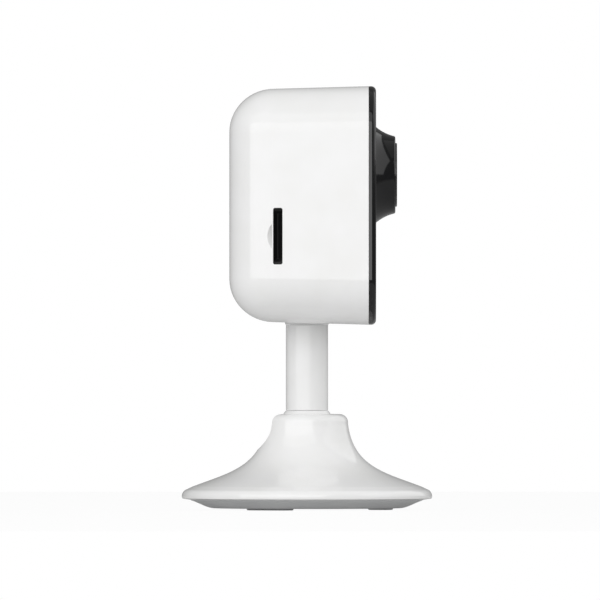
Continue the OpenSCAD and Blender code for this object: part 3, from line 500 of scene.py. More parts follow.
def turned(outline, turn=Matrix.Identity(4), spot=(0, 0, 0), steps=128):
    """Spins an outline of (radius, height) points into a closed solid."""
    bm = bmesh.new()
    corners = [bm.verts.new((r, 0, h)) for r, h in outline]
    pairs = list(zip(corners, corners[1:]))
    if outline[0][0] > 0 or outline[-1][0] > 0:
        pairs.append((corners[-1], corners[0]))
    edges = [bm.edges.new(pair) for pair in pairs]
    bmesh.ops.spin(bm, geom=corners + edges, cent=(0, 0, 0), axis=(0, 0, 1),
                   angle=2 * math.pi, steps=steps, use_merge=True)
    bmesh.ops.remove_doubles(bm, verts=bm.verts, dist=TOUCH)
    bmesh.ops.recalc_face_normals(bm, faces=bm.faces)
    return place(bm, turn, spot)


def soften(bm, edges, radius, segments):
    """Rounds these edges."""
    bmesh.ops.bevel(bm, geom=edges, offset=radius, offset_type="OFFSET", segments=segments,
                    profile=0.5, affect="EDGES", material=-1)


def bar(width, height, length, corner, segments=8):
    """A bar along Z with round corners, its lower end at 0."""
    bm = bmesh.new()
    bmesh.ops.create_cube(bm, size=1.0)
    bmesh.ops.translate(bm, vec=(0, 0, 0.5), verts=bm.verts)
    bmesh.ops.scale(bm, vec=(width, height, length), verts=bm.verts)
    uprights = [e for e in bm.edges if abs(e.verts[0].co.z - e.verts[1].co.z) > length / 2]
    soften(bm, uprights, corner, segments)
    return bm


def rim_edges(bm, height, axis=2):
    """The edges that lie in the plane at this height."""
    return [e for e in bm.edges if all(abs(v.co[axis] - height) < TOUCH for v in e.verts)]


def bar_core(width, height, corner, depth, flare):
    """A core for a slot. It widens by flare up to Z = 0, the surface, and on past it."""
    bm = bar(width, height, depth - flare, corner)
    bmesh.ops.translate(bm, vec=(0, 0, -depth), verts=bm.verts)
    for rise, grow in ((2 * flare, 2 * flare), (PAST, 0.0)):
        top = max(bm.faces, key=lambda f: f.calc_center_median().z)
        lid = bmesh.ops.extrude_face_region(bm, geom=[top])["geom"]
        ring = [v for v in lid if isinstance(v, bmesh.types.BMVert)]
        bmesh.ops.scale(bm, vec=(1 + 2 * grow / width, 1 + 2 * grow / height, 1), verts=ring)
        bmesh.ops.translate(bm, vec=(0, 0, rise), verts=ring)
        bmesh.ops.delete(bm, geom=[top] if top.is_valid else [], context="FACES_ONLY")
    bmesh.ops.recalc_face_normals(bm, faces=bm.faces)
    return bm


def round_core(radius, depth, flare, steps=24):
    """A round core. It widens by flare up to Z = 0, the surface, and on past it."""
    return turned([(0, -depth), (radius, -depth), (radius, -flare),
                   (radius + 2 * flare, flare), (0, PAST)], steps=steps)


def join(bm, *others):
    """Adds other meshes to this one and frees them."""
    for other in others:
        mesh = bpy.data.meshes.new("joining")
        other.to_mesh(mesh)
        other.free()
        bm.from_mesh(mesh)
        bpy.data.meshes.remove(mesh)
    return bm


def carve(bm, *cores):
    """Cuts the cores' shapes out of a mesh with a Boolean modifier, which is applied."""
    holders = []
    for label, source in (("part", bm), ("core", join(bmesh.new(), *cores))):
        mesh = bpy.data.meshes.new(label)
        source.to_mesh(mesh)
        source.free()
        holders.append(bpy.data.objects.new(label, mesh))
        bpy.context.scene.collection.objects.link(holders[-1])
    part, core = holders
    cut = part.modifiers.new("Cut", "BOOLEAN")
    cut.operation = "DIFFERENCE"
    cut.solver = "EXACT"
    cut.object = core
    bpy.context.view_layer.update()
    result = bmesh.new()
    result.from_object(part, bpy.context.evaluated_depsgraph_get())
    for holder in holders:
        mesh = holder.data
        bpy.data.objects.remove(holder)
        bpy.data.meshes.remove(mesh)
    return result


def slice_off(bm, point, normal):
    """Cuts away all that lies beyond a plane, and closes the cut."""
    bmesh.ops.bisect_plane(bm, geom=bm.verts[:] + bm.edges[:] + bm.faces[:], plane_co=point,
                           plane_no=normal, clear_outer=True)
    bmesh.ops.holes_fill(bm, edges=[e for e in bm.edges if e.is_boundary])


def hand_over(bm, name, body, slot, *stands_for, crease=34):
    """Scales a finished mesh to metres, shades it, gives it its slot's finish and its body, and
    hides the nodes it stands for.
    """
    bmesh.ops.scale(bm, vec=(MM, MM, MM), verts=bm.verts)
    for face in bm.faces:
        face.smooth = True
    for edge in bm.edges:
        edge.smooth = edge.calc_face_angle(0) < math.radians(crease)
    mesh = bpy.data.meshes.new(name)
    bm.to_mesh(mesh)
    bm.free()
    piece = bpy.data.objects.new(name, mesh)
    bpy.context.scene.collection.objects.link(piece)
    mesh.materials.append(FINISH[slot])
    shading = piece.modifiers.new("Flat faces stay flat", "WEIGHTED_NORMAL")
    shading.keep_sharp = True
    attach(piece, body)
    if stands_for:
        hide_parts(*stands_for)
    print(f"{name}: {len(mesh.polygons)} faces")
    return piece


# %% [markdown]
# The head's casing is a deep box with a slight draft, so that it leaves its mould. It is two
# rounded boxes, the outer and the inner skin, joined by a rim at the open front. Bevelling the
# long edges first and the rear rim second gives the ball-like rear corners.

# %% Rear housing
CORNER_R = 11.0
REAR_R = 10.5
CORNER_STEPS, REAR_STEPS = 16, 14
DRAFT = math.radians(1.55)
WALL = 1.8
SEAM_EDGE, SEAM_STEPS = 0.12, 3


def head_skin(inset):
    """The head's drafted form, moved inwards, open at the seam."""
    length = BACK_Y - SEAM_Y - inset
    size = 2 * (HEAD_HALF - inset)
    bm = bar(size, size, length, CORNER_R - inset, CORNER_STEPS)
    soften(bm, rim_edges(bm, length), REAR_R - inset, REAR_STEPS)
    front = min(bm.faces, key=lambda f: f.calc_center_median().z)
    bmesh.ops.delete(bm, geom=[front], context="FACES_ONLY")
    for vert in bm.verts:
        taper = 1 - vert.co.z * math.tan(DRAFT) / HEAD_HALF
        vert.co.x *= taper
        vert.co.y *= taper
    return place(bm, TOWARDS_BACK, (0, SEAM_Y, HEAD_Z))


def flank_x(y):
    """How far out the drafted flank is at this depth."""
    return HEAD_HALF - (y - SEAM_Y) * math.tan(DRAFT)


inner = head_skin(WALL)
bmesh.ops.reverse_faces(inner, faces=inner.faces)
housing = join(head_skin(0.0), inner)
open_edges = [e for e in housing.edges if e.is_boundary]
bmesh.ops.bridge_loops(housing, edges=open_edges)
outer_rim = [e for e in rim_edges(housing, SEAM_Y, axis=1)
             if all(max(abs(v.co.x), abs(v.co.z - HEAD_Z)) > 0.5 * HEAD_HALF for v in e.verts)]
soften(housing, outer_rim, SEAM_EDGE, SEAM_STEPS)
print("housing faces:", len(housing.faces), "open edges:",
      sum(e.is_boundary for e in housing.edges))

# %% [markdown]
# The flank has the memory card slot with a scooped thumb notch behind it. The rear face has the
# power port, the reset button's hole and the speaker's holes, in rings. Each core has a small
# flare, as a moulded hole has no razor edge.

# %% Openings of the housing
SLOT_Y, SLOT_Z, SLOT_W, SLOT_H, SLOT_CORNER = 7.08, 66.56, 2.26, 13.7, 0.47
NOTCH_Y, NOTCH_R, SCOOP_R, LIP = 5.1, 4.6, 5.3, 0.32
PORT_W, PORT_H, PORT_CORNER = 9.6, 5.0, 1.0
BUTTON_HOLE_R, NECK_HOLE_R, THROUGH = 1.5, 5.0, 4.0
GRILLE_R, GRILLE_PITCH, GRILLE_RINGS = 0.6, 2.2, 3
button_low, button_high = box_mm("reset_button")
button_x = (button_low.x + button_high.x) / 2
port_z = (button_low.z + button_high.z) / 2

slot_core = place(bar_core(SLOT_H, SLOT_W, SLOT_CORNER, THROUGH, 0.06), TOWARDS_LEFT,
                  (-flank_x(SLOT_Y), SLOT_Y, SLOT_Z))
scoop = bmesh.new()
bmesh.ops.create_uvsphere(scoop, u_segments=96, v_segments=64, radius=SCOOP_R)
out = math.sqrt(SCOOP_R ** 2 - NOTCH_R ** 2)
place(scoop, spot=(-flank_x(NOTCH_Y) - out, NOTCH_Y, SLOT_Z))
slice_off(scoop, (0, SLOT_Y + SLOT_W / 2 + LIP, 0), (0, -1, 0))
bmesh.ops.recalc_face_normals(scoop, faces=scoop.faces)
port_core = place(bar_core(PORT_W, PORT_H, PORT_CORNER, THROUGH, 0.3), TOWARDS_BACK,
                  (0, BACK_Y, port_z))
button_core = place(round_core(BUTTON_HOLE_R, THROUGH, 0.2, 48), TOWARDS_BACK,
                    (button_x, BACK_Y, port_z))
holes = [(0.0, 0.0)]
for ring in range(1, GRILLE_RINGS + 1):
    for i in range(6 * ring):
        around = math.radians(60 * i / ring)
        holes.append((ring * GRILLE_PITCH * math.cos(around),
                      ring * GRILLE_PITCH * math.sin(around)))
grille = [place(round_core(GRILLE_R, THROUGH, 0.1), TOWARDS_BACK, (x, BACK_Y, LENS_Z + z))
          for x, z in holes]
neck_core = place(round_core(NECK_HOLE_R, 6.0, 0.1, 64), spot=(0, 0, head_low.z + THROUGH))
housing = carve(housing, slot_core, port_core, button_core, neck_core, *grille)
housing = carve(housing, scoop)
print("speaker holes:", len(grille), "faces:", len(housing.faces))

# %% [markdown]
# Under the head a shallow collar leads into the stem. Inside are the neck's socket and the
# screw posts, which are hollow rods, turned and joined to the casing.

# %% Collar and posts of the housing
BORE_R = 4.15
NECK_R, FLARE_AT, FLARE_R = 5.2, (7.2, 45.2), 1.9
SOCKET_R, SOCKET_FOOT, SOCKET_TOP = 6.4, 48.0, 53.5
STOP_R, STOP_Z = 1.6, 52.05          # the stem ends here, and its cable goes on
FRONT_POSTS = {"start_y": -11.3, "end_y": -4.0, "radius": 2.9, "pilot": 1.0}
FRONT_SPOTS = [(24.4 * sx, HEAD_Z + 14 * sz) for sx in (-1, 1) for sz in (-1, 1)]
REAR_POSTS = {"start_y": 6.1, "end_y": BACK_Y - WALL + 0.4, "radius": 2.4, "pilot": 1.0}
REAR_SPOTS = [(-19.5, 92.5), (19.5, 92.5), (-9, 61), (19.5, 61)]


def post(x, z, start_y, end_y, radius, pilot):
    """A hollow screw post along Y."""
    outline = [(pilot, 0), (radius - 0.2, 0), (radius, 0.2), (radius, end_y - start_y),
               (pilot, end_y - start_y)]
    return turned(outline, TOWARDS_BACK, (x, start_y, z), steps=40)


collar = turned([(BORE_R, head_low.z), (NECK_R, head_low.z),
                 *arc(*FLARE_AT, FLARE_R, 180, 110, 8), (SOCKET_R, SOCKET_FOOT),
                 (SOCKET_R, SOCKET_TOP), (STOP_R, SOCKET_TOP), (STOP_R, STOP_Z),
                 (BORE_R, STOP_Z)], steps=96)
posts = [post(x, z, **FRONT_POSTS) for x, z in FRONT_SPOTS]
posts += [post(x, z, **REAR_POSTS) for x, z in REAR_SPOTS]
housing = join(housing, collar, *posts)
hand_over(housing, "rear_housing_shell", "head", "white_abs", "rear_housing")

# %% [markdown]
# Behind the card slot a black guide leads the card into its socket. A thin black sleeve lines the
# slot as painted shade, so no white wall shows inside. The slit has a funnel edge, and a closed
# black end with slanted faces shuts it as painted shade, so it looks black like a deep hole. The
# power port is a five-pin socket: a folded steel shell with two cut corners, a plastic tongue, and
# five contacts under the tongue.

# %% Card guide and power socket
guide_low, guide_high = box_mm("card_slot_liner")
GUIDE_SLIT, SLIT_W, FUNNEL, SHADE_GATE = 11.2, 0.9, 0.6, 0.1
SHADE_SLEEVE_WALL, SHADE_SLEEVE_SINK, SHADE_SLEEVE_GAP = 0.08, 0.12, 0.01
SHADE_GATE_SLANT = (0.97, 0.12, 1.0)
guide_l = guide_high.x - guide_low.x
guide = bar(guide_high.z - guide_low.z, guide_high.y - guide_low.y, guide_l, 0.3, 3)
place(guide, TOWARDS_LEFT, (guide_high.x, SLOT_Y, SLOT_Z))
# The slit stops short of the guide's far end: its closed, slanted black end is painted shade in
# place of the slot's dark depth.
slit = bar_core(GUIDE_SLIT, SLIT_W, 0.2, guide_l - SHADE_GATE, FUNNEL)
floor_of_slit = [v for v in slit.verts if v.co.z < SHADE_GATE - guide_l + TOUCH]
bmesh.ops.scale(slit, vec=SHADE_GATE_SLANT, verts=floor_of_slit)
guide = carve(guide, place(slit, TOWARDS_LEFT, (guide_low.x, SLOT_Y, SLOT_Z)))
# A thin black sleeve covers the slot's white walls: painted shade where the walls would only be in
# shadow.
shade_sleeve_l = flank_x(SLOT_Y) - SHADE_SLEEVE_SINK + guide_low.x
collar = bar(SLOT_H - 2 * SHADE_SLEEVE_GAP, SLOT_W - 2 * SHADE_SLEEVE_GAP, shade_sleeve_l,
             SLOT_CORNER - SHADE_SLEEVE_GAP)
hollow = bar(SLOT_H - 2 * SHADE_SLEEVE_WALL, SLOT_W - 2 * SHADE_SLEEVE_WALL, shade_sleeve_l + 2 * PAST,
             SLOT_CORNER - SHADE_SLEEVE_WALL)
collar = carve(collar, place(hollow, spot=(0, 0, -PAST)))
place(collar, TOWARDS_LEFT, (guide_low.x, SLOT_Y, SLOT_Z))
hand_over(join(guide, collar), "card_guide_with_shade_sleeve", "head", "black_matte", "card_slot_liner")

socket_low, socket_high = box_mm("power_socket")
SHEET, CUT_CORNER, ROOM = 0.28, 0.8, 4.6
middle_z = (socket_low.z + socket_high.z) / 2
half_w = (socket_high.x - socket_low.x) / 2
corners = [(half_w, socket_high.z), (-half_w, socket_high.z), (-half_w, middle_z),
           (CUT_CORNER - half_w, socket_low.z), (half_w - CUT_CORNER, socket_low.z),
           (half_w, middle_z)]
socket = bmesh.new()
mouth = socket.faces.new([socket.verts.new((x, socket_high.y, z)) for x, z in corners])
body = bmesh.ops.extrude_face_region(socket, geom=[mouth], use_keep_orig=True)["geom"]
bmesh.ops.translate(socket, vec=(0, socket_low.y - socket_high.y, 0),
                    verts=[v for v in body if isinstance(v, bmesh.types.BMVert)])
bmesh.ops.inset_individual(socket, faces=[mouth], thickness=SHEET)
bmesh.ops.delete(socket, geom=[mouth], context="FACES_ONLY")
inner_loop = [e for e in socket.edges if e.is_boundary]
pushed = bmesh.ops.extrude_edge_only(socket, edges=inner_loop)["geom"]
pushed_verts = [v for v in pushed if isinstance(v, bmesh.types.BMVert)]
bmesh.ops.translate(socket, vec=(0, -ROOM, 0), verts=pushed_verts)
bmesh.ops.holes_fill(socket, edges=[e for e in socket.edges if e.is_boundary])
bmesh.ops.remove_doubles(socket, verts=socket.verts, dist=TOUCH)
bmesh.ops.recalc_face_normals(socket, faces=socket.faces)
print("socket open edges:", sum(e.is_boundary for e in socket.edges))
hand_over(socket, "power_socket_shell", "head", "tinned_steel", "power_socket", crease=20)

TONGUE_W, TONGUE_T, TONGUE_GAP, TONGUE_RISE, TONGUE_EDGE = 3.6, 0.6, 0.5, 0.25, 0.1
CONTACT_W, CONTACT_T, CONTACT_EDGE, CONTACT_PITCH, CONTACTS = 0.4, 0.1, 0.03, 0.65, 5
CONTACT_SHORT = 0.4
tongue_z = middle_z + TONGUE_RISE
tongue_l = ROOM - TONGUE_GAP
tongue = bar(TONGUE_W, TONGUE_T, tongue_l, TONGUE_EDGE, 3)
soften(tongue, rim_edges(tongue, tongue_l), TONGUE_EDGE, 2)
tongue_y = socket_high.y - ROOM
hand_over(place(tongue, TOWARDS_BACK, (0, tongue_y, tongue_z)), "power_socket_tongue", "head",
          "black_matte")
strips = [place(bar(CONTACT_W, CONTACT_T, tongue_l - CONTACT_SHORT, CONTACT_EDGE, 2),
                TOWARDS_BACK, ((i - CONTACTS // 2) * CONTACT_PITCH, tongue_y,
                               tongue_z - TONGUE_T / 2 - CONTACT_EDGE))
          for i in range(CONTACTS)]
hand_over(join(bmesh.new(), *strips), "power_socket_contacts", "head", "zinc_steel")

# %% [markdown]
# The front cover is a polished black plate. Its flat edge is 0.75 mm wide beside the casing and
# then rounds into the face with a radius of about 1 mm, which is where the light draws its line.
# It has holes for the shroud, the microphone and the status light.

# %% Front cover
COVER_EDGE, BACK_EDGE = 1.15, 0.1
SHROUD_HOLE_R, MIC_HOLE_R, STATUS_HOLE_R, CORE_DEPTH = 9.0, 0.5, 1.04, 6.0
thickness = SEAM_Y - FACE_Y
plate = bar(2 * HEAD_HALF, 2 * HEAD_HALF, thickness, CORNER_R, 16)
soften(plate, rim_edges(plate, thickness), COVER_EDGE, 10)
soften(plate, rim_edges(plate, 0.0), BACK_EDGE, 2)
place(plate, TOWARDS_FRONT, (0, SEAM_Y, HEAD_Z))
pipe_low, pipe_high = box_mm("light_pipe")
mic_low, mic_high = box_mm("mic_gasket")
status_z = (pipe_low.z + pipe_high.z) / 2
mic_z = (mic_low.z + mic_high.z) / 2
plate = carve(plate,
              place(round_core(SHROUD_HOLE_R, CORE_DEPTH, 0.1, 98), TOWARDS_FRONT,
                    (0, FACE_Y, LENS_Z)),
              place(round_core(MIC_HOLE_R, CORE_DEPTH, 0.15, 30), TOWARDS_FRONT,
                    (0, FACE_Y, mic_z)),
              place(round_core(STATUS_HOLE_R, CORE_DEPTH, 0.1, 46), TOWARDS_FRONT,
                    (0, FACE_Y, status_z)))
hand_over(plate, "front_cover_plate", "head", "black_gloss", "front_cover")

# %% [markdown]
# The lens parts are all turned about one axis. The shroud flares to its foot like a trumpet. The
# trim ring holds the cover glass, and fine steps on its inner cone stop stray light.

# %% Lens shroud, trim ring and cover glass
shroud_low = box_mm("lens_shroud")[0]
trim_low, trim_high = box_mm("lens_trim_ring")
TIP = FACE_Y - shroud_low.y
TRIM_TIP = FACE_Y - trim_low.y
TRIM_R = (trim_high.x - trim_low.x) / 2
FOOT_R, TIP_R, TIP_ROUND = 11.75, 9.5, 0.5
GLASS_A, GLASS_T, GLASS_R = FACE_Y - glass_high.y, glass_high.y - glass_low.y, 7.0
LENS_AXIS = {"turn": TOWARDS_FRONT, "spot": (0, FACE_Y, LENS_Z)}

flare = curve((FOOT_R, 0), (10.7, 1.2), (TIP_R + 0.35, 2.8), (TIP_R, TIP - TIP_ROUND), 24)
tip = arc(TIP_R - TIP_ROUND, TIP - TIP_ROUND, TIP_ROUND, 15, 90, 8)
bore = [(TRIM_R + 0.08, TIP), (TRIM_R + 0.08, GLASS_A + GLASS_T), (7.05, GLASS_A + GLASS_T),
        (7.05, GLASS_A), (6.3, GLASS_A), (7.2, 0), (7.2, -3.5), (8.95, -3.5), (8.95, 0)]
hand_over(turned(flare + tip + bore, **LENS_AXIS), "lens_shroud_turned", "head",
          "black_satin", "lens_shroud")

STEPS, STEP_RISE, FIRST_STEP = 5, 0.12, 0.25
EDGE_R = 0.2
ring_back = GLASS_A + GLASS_T
inner_r, lip_r = 6.2, TRIM_R - 0.75
cone = []
for i in range(STEPS):
    share = (i + 1) / STEPS
    r = inner_r + (lip_r - inner_r) * share
    h = ring_back + FIRST_STEP + (TRIM_TIP - ring_back - FIRST_STEP) * i / STEPS
    cone += [(inner_r + (lip_r - inner_r) * i / STEPS, h + STEP_RISE), (r, h + STEP_RISE)]
ring = [(inner_r, ring_back), (TRIM_R, ring_back)]
ring += arc(TRIM_R - EDGE_R, TRIM_TIP - EDGE_R, EDGE_R, 0, 90, 5)
ring += arc(lip_r + STEP_RISE, TRIM_TIP - STEP_RISE, STEP_RISE, 90, 180, 4)
ring += cone[::-1]
hand_over(turned(ring, **LENS_AXIS), "lens_trim_ring_turned", "head", "black_satin",
          "lens_trim_ring", crease=28)

CHAMFER = 0.12
pane = [(0, GLASS_A), (GLASS_R - CHAMFER, GLASS_A), (GLASS_R, GLASS_A + CHAMFER),
        (GLASS_R, GLASS_A + GLASS_T - CHAMFER), (GLASS_R - CHAMFER, GLASS_A + GLASS_T),
        (0, GLASS_A + GLASS_T)]
hand_over(turned(pane, **LENS_AXIS), "lens_cover_glass_pane", "head", "cover_glass",
          "lens_cover_glass")

# %% [markdown]
# Behind the glass sits the lens in its barrel. A groove marks the barrel's retaining ring, and
# the front lens is a shallow dome that catches the softboxes.

# %% Lens barrel and front lens
barrel_low, barrel_high = box_mm("lens_barrel")
lens_low, lens_high = box_mm("front_lens")
barrel_tip = FACE_Y - barrel_low.y
barrel_back = FACE_Y - barrel_high.y
BARREL_R = (barrel_high.x - barrel_low.x) / 2
LENS_R = (lens_high.x - lens_low.x) / 2
lens_tip = FACE_Y - lens_low.y
lens_back = FACE_Y - lens_high.y
MOUTH_R, GROOVE_FROM, GROOVE_TO, GROOVE = 5.1, 5.35, 5.6, 0.12    # the retaining ring's groove
RIM_EDGE_R, FIT = 0.15, 0.05
SEAT_BORE_R, SEAT_DEPTH, IRIS_R = 3.25, 1.9, 2.6
face = [(MOUTH_R, barrel_tip), (GROOVE_FROM, barrel_tip - GROOVE),
        (GROOVE_TO, barrel_tip - GROOVE), (GROOVE_TO + 0.1, barrel_tip),
        (BARREL_R - RIM_EDGE_R, barrel_tip), (BARREL_R, barrel_tip - RIM_EDGE_R)]
rear = [(BARREL_R, barrel_back), (SEAT_BORE_R, barrel_back),
        (SEAT_BORE_R, barrel_back + SEAT_DEPTH), (IRIS_R, barrel_back + SEAT_DEPTH),
        (IRIS_R, lens_back - FIT), (LENS_R + FIT, lens_back - FIT)]
throat = [(LENS_R + grow, barrel_tip - deep)
          for grow, deep in ((FIT, 0.75), (0.2, 0.6), (0.2, 0.35), (0.4, 0.25))]
hand_over(turned(face + rear + throat, **LENS_AXIS), "lens_barrel_turned", "head",
          "black_matte", "lens_barrel", crease=25)

SAG = 1.2
ball = (LENS_R ** 2 + SAG ** 2) / (2 * SAG)
edge_angle = math.degrees(math.asin((ball - SAG) / ball))
dome = arc(0, lens_tip - ball, ball, 90, edge_angle, 20)
hand_over(turned([*dome, (LENS_R, lens_back), (0, lens_back)], **LENS_AXIS),
          "front_lens_element", "head", "lens_glass", "front_lens")

# %% [markdown]
# The base is one turned sweep: a small dome that holds the ball, a long hollow curve, and a
# rounded rim. Behind the dome a U-shaped slot lets the stem fold back. Its core is one U-shaped
# outline pushed out along Y, as two overlapping cores would leave slivers.

# %% Base shell
base_low, base_high = box_mm("base_shell")
ball_low, ball_high = box_mm("pivot_ball")
pin_low, pin_high = box_mm("hinge_pins")
PIVOT_Z = (pin_low.z + pin_high.z) / 2
RIM_R = (base_high.x - base_low.x) / 2
DOME_TOP = base_high.z
DOME_R, SEAT_R, BORE_BELOW = 10.0, 6.9, 8.0
DOME_EDGE, RIM_EDGE, RIM_Z = 2.0, 1.8, 3.3
SKIN = 1.6
LIP_R, LEDGE_Z = RIM_R - 2.1, 3.2

sweep = [(DOME_R, 20.9), (DOME_R + 1.32, 10.35), (RIM_R - 11.4, 9.05), (RIM_R - 2.5, 5.62)]
outside = [(6.4, DOME_TOP)]
outside += arc(DOME_R - DOME_EDGE, DOME_TOP - DOME_EDGE, DOME_EDGE, 88, 4, 12)
outside += curve(*sweep, 48)
outside += arc(RIM_R - RIM_EDGE, RIM_Z, RIM_EDGE, 72, -12, 14)
outside += [(RIM_R - 0.08, RIM_Z - 0.5), (RIM_R - 0.3, RIM_Z - 0.6)]
outside += [(LIP_R + 0.15, base_low.z), (LIP_R, base_low.z + 0.15)]
inside = [(LIP_R, LEDGE_Z), (LIP_R - 0.8, LEDGE_Z)]
inside += [(r - SKIN, h - SKIN) for r, h in reversed(curve(*sweep, 24)) if r > 13]
inside += [(BORE_BELOW, inside[-1][1]), (BORE_BELOW, PIVOT_Z)]
inside += arc(0, PIVOT_Z, SEAT_R, 0, 28, 8)
inside += [(6.15, DOME_TOP - 0.06)]
shell = turned(outside + inside, steps=160)

HALF_SLOT, CORE_REACH, U_STEPS = 5.24, 40.0, 49
u_outline = [(HALF_SLOT, CORE_REACH), *arc(0, 0, HALF_SLOT, 0, -180, U_STEPS),
             (-HALF_SLOT, CORE_REACH)]
u_core = bmesh.new()
near = u_core.faces.new([u_core.verts.new((x, 0, PIVOT_Z + z)) for x, z in u_outline])
far = bmesh.ops.extrude_face_region(u_core, geom=[near], use_keep_orig=True)["geom"]
bmesh.ops.translate(u_core, vec=(0, CORE_REACH, 0),
                    verts=[v for v in far if isinstance(v, bmesh.types.BMVert)])
bmesh.ops.recalc_face_normals(u_core, faces=u_core.faces)
shell = carve(shell, u_core)
hand_over(shell, "base_shell_sweep", "base", "white_abs", "base_shell")

# %% [markdown]
# Under the base a grey cover closes the shell. It curves up to the rim, and three oblong pads
# sit in pockets in it. The pads stand 0.4 mm proud, so the camera rests on them alone.

# %% Underside cover and feet
UNDER_Z = box_mm("base_cover")[0].z
PAD_L, PAD_W, PAD_REACH = 12.2, 6.1, 17.9
POCKET, POCKET_CORE, PAD_EDGE = 1.2, 3.0, 0.3
PAD_TURNS = (0, 120, 240)
COVER_R, COVER_TOP, PLATE_TOP = RIM_R - 2.2, 3.1, 1.9
edge_curve = curve((RIM_R - 7.6, UNDER_Z), (RIM_R - 6.0, 0.5), (RIM_R - 4.4, 1.6),
                   (COVER_R, 2.34), 14)
cover_outline = [(0, UNDER_Z), *edge_curve, (COVER_R, COVER_TOP), (RIM_R - 3.2, COVER_TOP),
                 (RIM_R - 4, PLATE_TOP), (0, PLATE_TOP)]


def at_pads(form, angle, z):
    """Moves a pad-shaped form to its place round the base."""
    around = Matrix.Rotation(math.radians(angle), 4, "Z")
    return place(place(form, spot=(0, -PAD_REACH, z)), around)


def pad_form(grow, height):
    """An oblong with round ends."""
    return bar(PAD_L + grow, PAD_W + grow, height, (PAD_W + grow) / 2 - 0.02, 16)


under = carve(turned(cover_outline, steps=160),
              *[at_pads(pad_form(0.2, POCKET_CORE), a, POCKET - POCKET_CORE)
                for a in PAD_TURNS])
hand_over(under, "base_cover_moulding", "base", "grey_abs", "base_cover")

pads = []
for angle in PAD_TURNS:
    pad = pad_form(-0.02, POCKET - 0.02)
    soften(pad, rim_edges(pad, 0.0), PAD_EDGE, 4)
    pads.append(at_pads(pad, angle, 0.0))
hand_over(join(bmesh.new(), *pads), "foot_pads_moulded", "base", "soft_rubber", "foot_pads")

# %% [markdown]
# The stem is a plain tube, but its ends matter: a hair of rounding at the head and at the ball
# gives thin shadow lines. Below it the journal turns in the ball's bore. A plane cuts the two
# flat cheeks off the turned ball.

# %% Stem and ball
STEM_R = (stem_high.x - stem_low.x) / 2
JOURNAL_R, SPIGOT_R = 2.6, 4.1
WIRE_R, CABLE_R, CABLE_FROM = 0.98, 1.5, 38.0    # the hole for the cable, narrow lower down
FOOT_EDGE, TOP_EDGE = 0.2, 0.12
SHADOW_GAP = 0.05
foot_z = ball_high.z + SHADOW_GAP
top_z = head_low.z - SHADOW_GAP
outline = [(WIRE_R, stem_low.z), (JOURNAL_R, stem_low.z), (JOURNAL_R, foot_z)]
outline += arc(STEM_R - FOOT_EDGE, foot_z + FOOT_EDGE, FOOT_EDGE, -90, 0, 4)
outline += arc(STEM_R - TOP_EDGE, top_z - TOP_EDGE, TOP_EDGE, 0, 90, 3)
outline += [(SPIGOT_R, top_z), (SPIGOT_R, stem_high.z), (CABLE_R, stem_high.z),
            (CABLE_R, CABLE_FROM), (WIRE_R, CABLE_FROM - 1.0)]
hand_over(turned(outline, steps=128), "stem_tube", "head", "white_abs", "stem")

BALL_R = (ball_high.y - ball_low.y) / 2
CHEEK = (ball_high.x - ball_low.x) / 2
UNDER_R, UNDERSIDE_Z = 3.4, 16.4     # the ball's flat underside
top_turn = math.degrees(math.asin((ball_high.z - PIVOT_Z) / BALL_R))
low_turn = math.degrees(math.acos(UNDER_R / BALL_R))
outline = [(JOURNAL_R + SHADOW_GAP, UNDERSIDE_Z), (UNDER_R, UNDERSIDE_Z),
           *arc(0, PIVOT_Z, BALL_R, -low_turn, top_turn, 40),
           (JOURNAL_R + SHADOW_GAP, ball_high.z)]
sphere = turned(outline, steps=128)
for side in (-1, 1):
    slice_off(sphere, (side * CHEEK, 0, 0), (side, 0, 0))
hand_over(sphere, "pivot_ball_turned", "pivot", "white_abs", "pivot_ball")

# %% [markdown]
# The reset button is a small stepped pin with a slightly domed end. It sits just inside the rear
# face, so that it isn't pressed by chance.

# %% Reset button
PIN_R, FLANGE_R, CAP_R = 1.2, 2.4, 1.45
FLANGE_FROM, FLANGE_TO = 0.5, 1.57
CAP_EDGE = 0.25
length = button_high.y - button_low.y
outline = [(0, 0), (PIN_R, 0), (PIN_R, FLANGE_FROM), (FLANGE_R - 0.1, FLANGE_FROM),
           (FLANGE_R, FLANGE_FROM + 0.1), (FLANGE_R, FLANGE_TO), (CAP_R, FLANGE_TO)]
outline += arc(CAP_R - CAP_EDGE, length - CAP_EDGE, CAP_EDGE, 0, 78, 6)
outline += [(0, length)]
hand_over(turned(outline, TOWARDS_BACK, (button_x, button_low.y, port_z), steps=64),
          "reset_button_cap", "button", "button_grey", "reset_button")

# %% [markdown]
# The floor is a plain pale sheet, like a lit table of milky acrylic: half of the light comes up
# through it, so the underside isn't black. It fades out away from the object, so that no
# horizon shows, and it is clear from below.

# %% Floor and world
FLOOR_R = 0.9
FADE_FROM, FADE_TO = 0.1, 0.5
SEEN_THROUGH = 0.94
LIT_THROUGH = 0.5


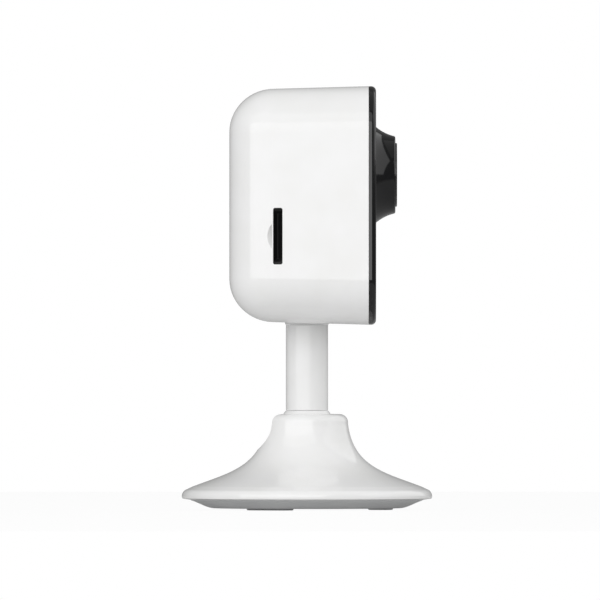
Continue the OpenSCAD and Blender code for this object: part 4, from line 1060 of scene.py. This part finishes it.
def floor_finish():
    """Pale paper that fades away from the object and is open from below."""
    material, tree, where = start_finish("Pale_paper_floor")
    far = node(tree, "VectorMath", {0: where}, operation="LENGTH")
    fade = node(tree, "MapRange", {"Value": far.outputs["Value"], "From Min": FADE_FROM,
                                   "From Max": FADE_TO}, interpolation_type="SMOOTHSTEP")
    below = node(tree, "NewGeometry").outputs["Backfacing"]
    hidden = node(tree, "Math", {0: fade.outputs["Result"], 1: below}, operation="MAXIMUM")
    haze = node(tree, "MapRange", {"Value": node(tree, "LightPath").outputs["Is Camera Ray"],
                                   "To Min": LIT_THROUGH, "To Max": SEEN_THROUGH})
    gone = node(tree, "Math", {0: hidden.outputs[0], 1: haze.outputs[0]}, operation="MAXIMUM")
    paper = node(tree, "BsdfPrincipled", {"Base Color": linear("#e6e6e6"), "Roughness": 0.9,
                                          "Specular IOR Level": 0.1})
    mix = node(tree, "MixShader", {0: gone.outputs[0], 1: paper.outputs[0],
                                   2: node(tree, "BsdfTransparent").outputs[0]})
    return end_finish(material, mix)


floor = bmesh.new()
bmesh.ops.create_circle(floor, cap_ends=True, segments=96, radius=FLOOR_R)
floor_mesh = bpy.data.meshes.new("floor")
floor.to_mesh(floor_mesh)
floor.free()
floor_piece = bpy.data.objects.new("floor", floor_mesh)
floor_mesh.materials.append(floor_finish())
bpy.context.scene.collection.objects.link(floor_piece)

world = bpy.data.worlds.new("Studio")
world.use_nodes = True
bpy.context.scene.world = world
tree = world.node_tree
tree.nodes.clear()
rays = node(tree, "LightPath")
dim = node(tree, "MapRange", {"Value": rays.outputs["Is Glossy Ray"], "To Min": WORLD_GREY,
                              "To Max": WORLD_IN_GLOSS})
glow = node(tree, "MapRange", {"Value": rays.outputs["Is Camera Ray"],
                               "To Min": dim.outputs["Result"], "To Max": 1.0})
sky = node(tree, "Background", {"Color": (1, 1, 1, 1), "Strength": glow.outputs["Result"]})
node(tree, "OutputWorld", {"Surface": sky.outputs[0]})
print("floor normal:", tuple(floor_mesh.polygons[0].normal))
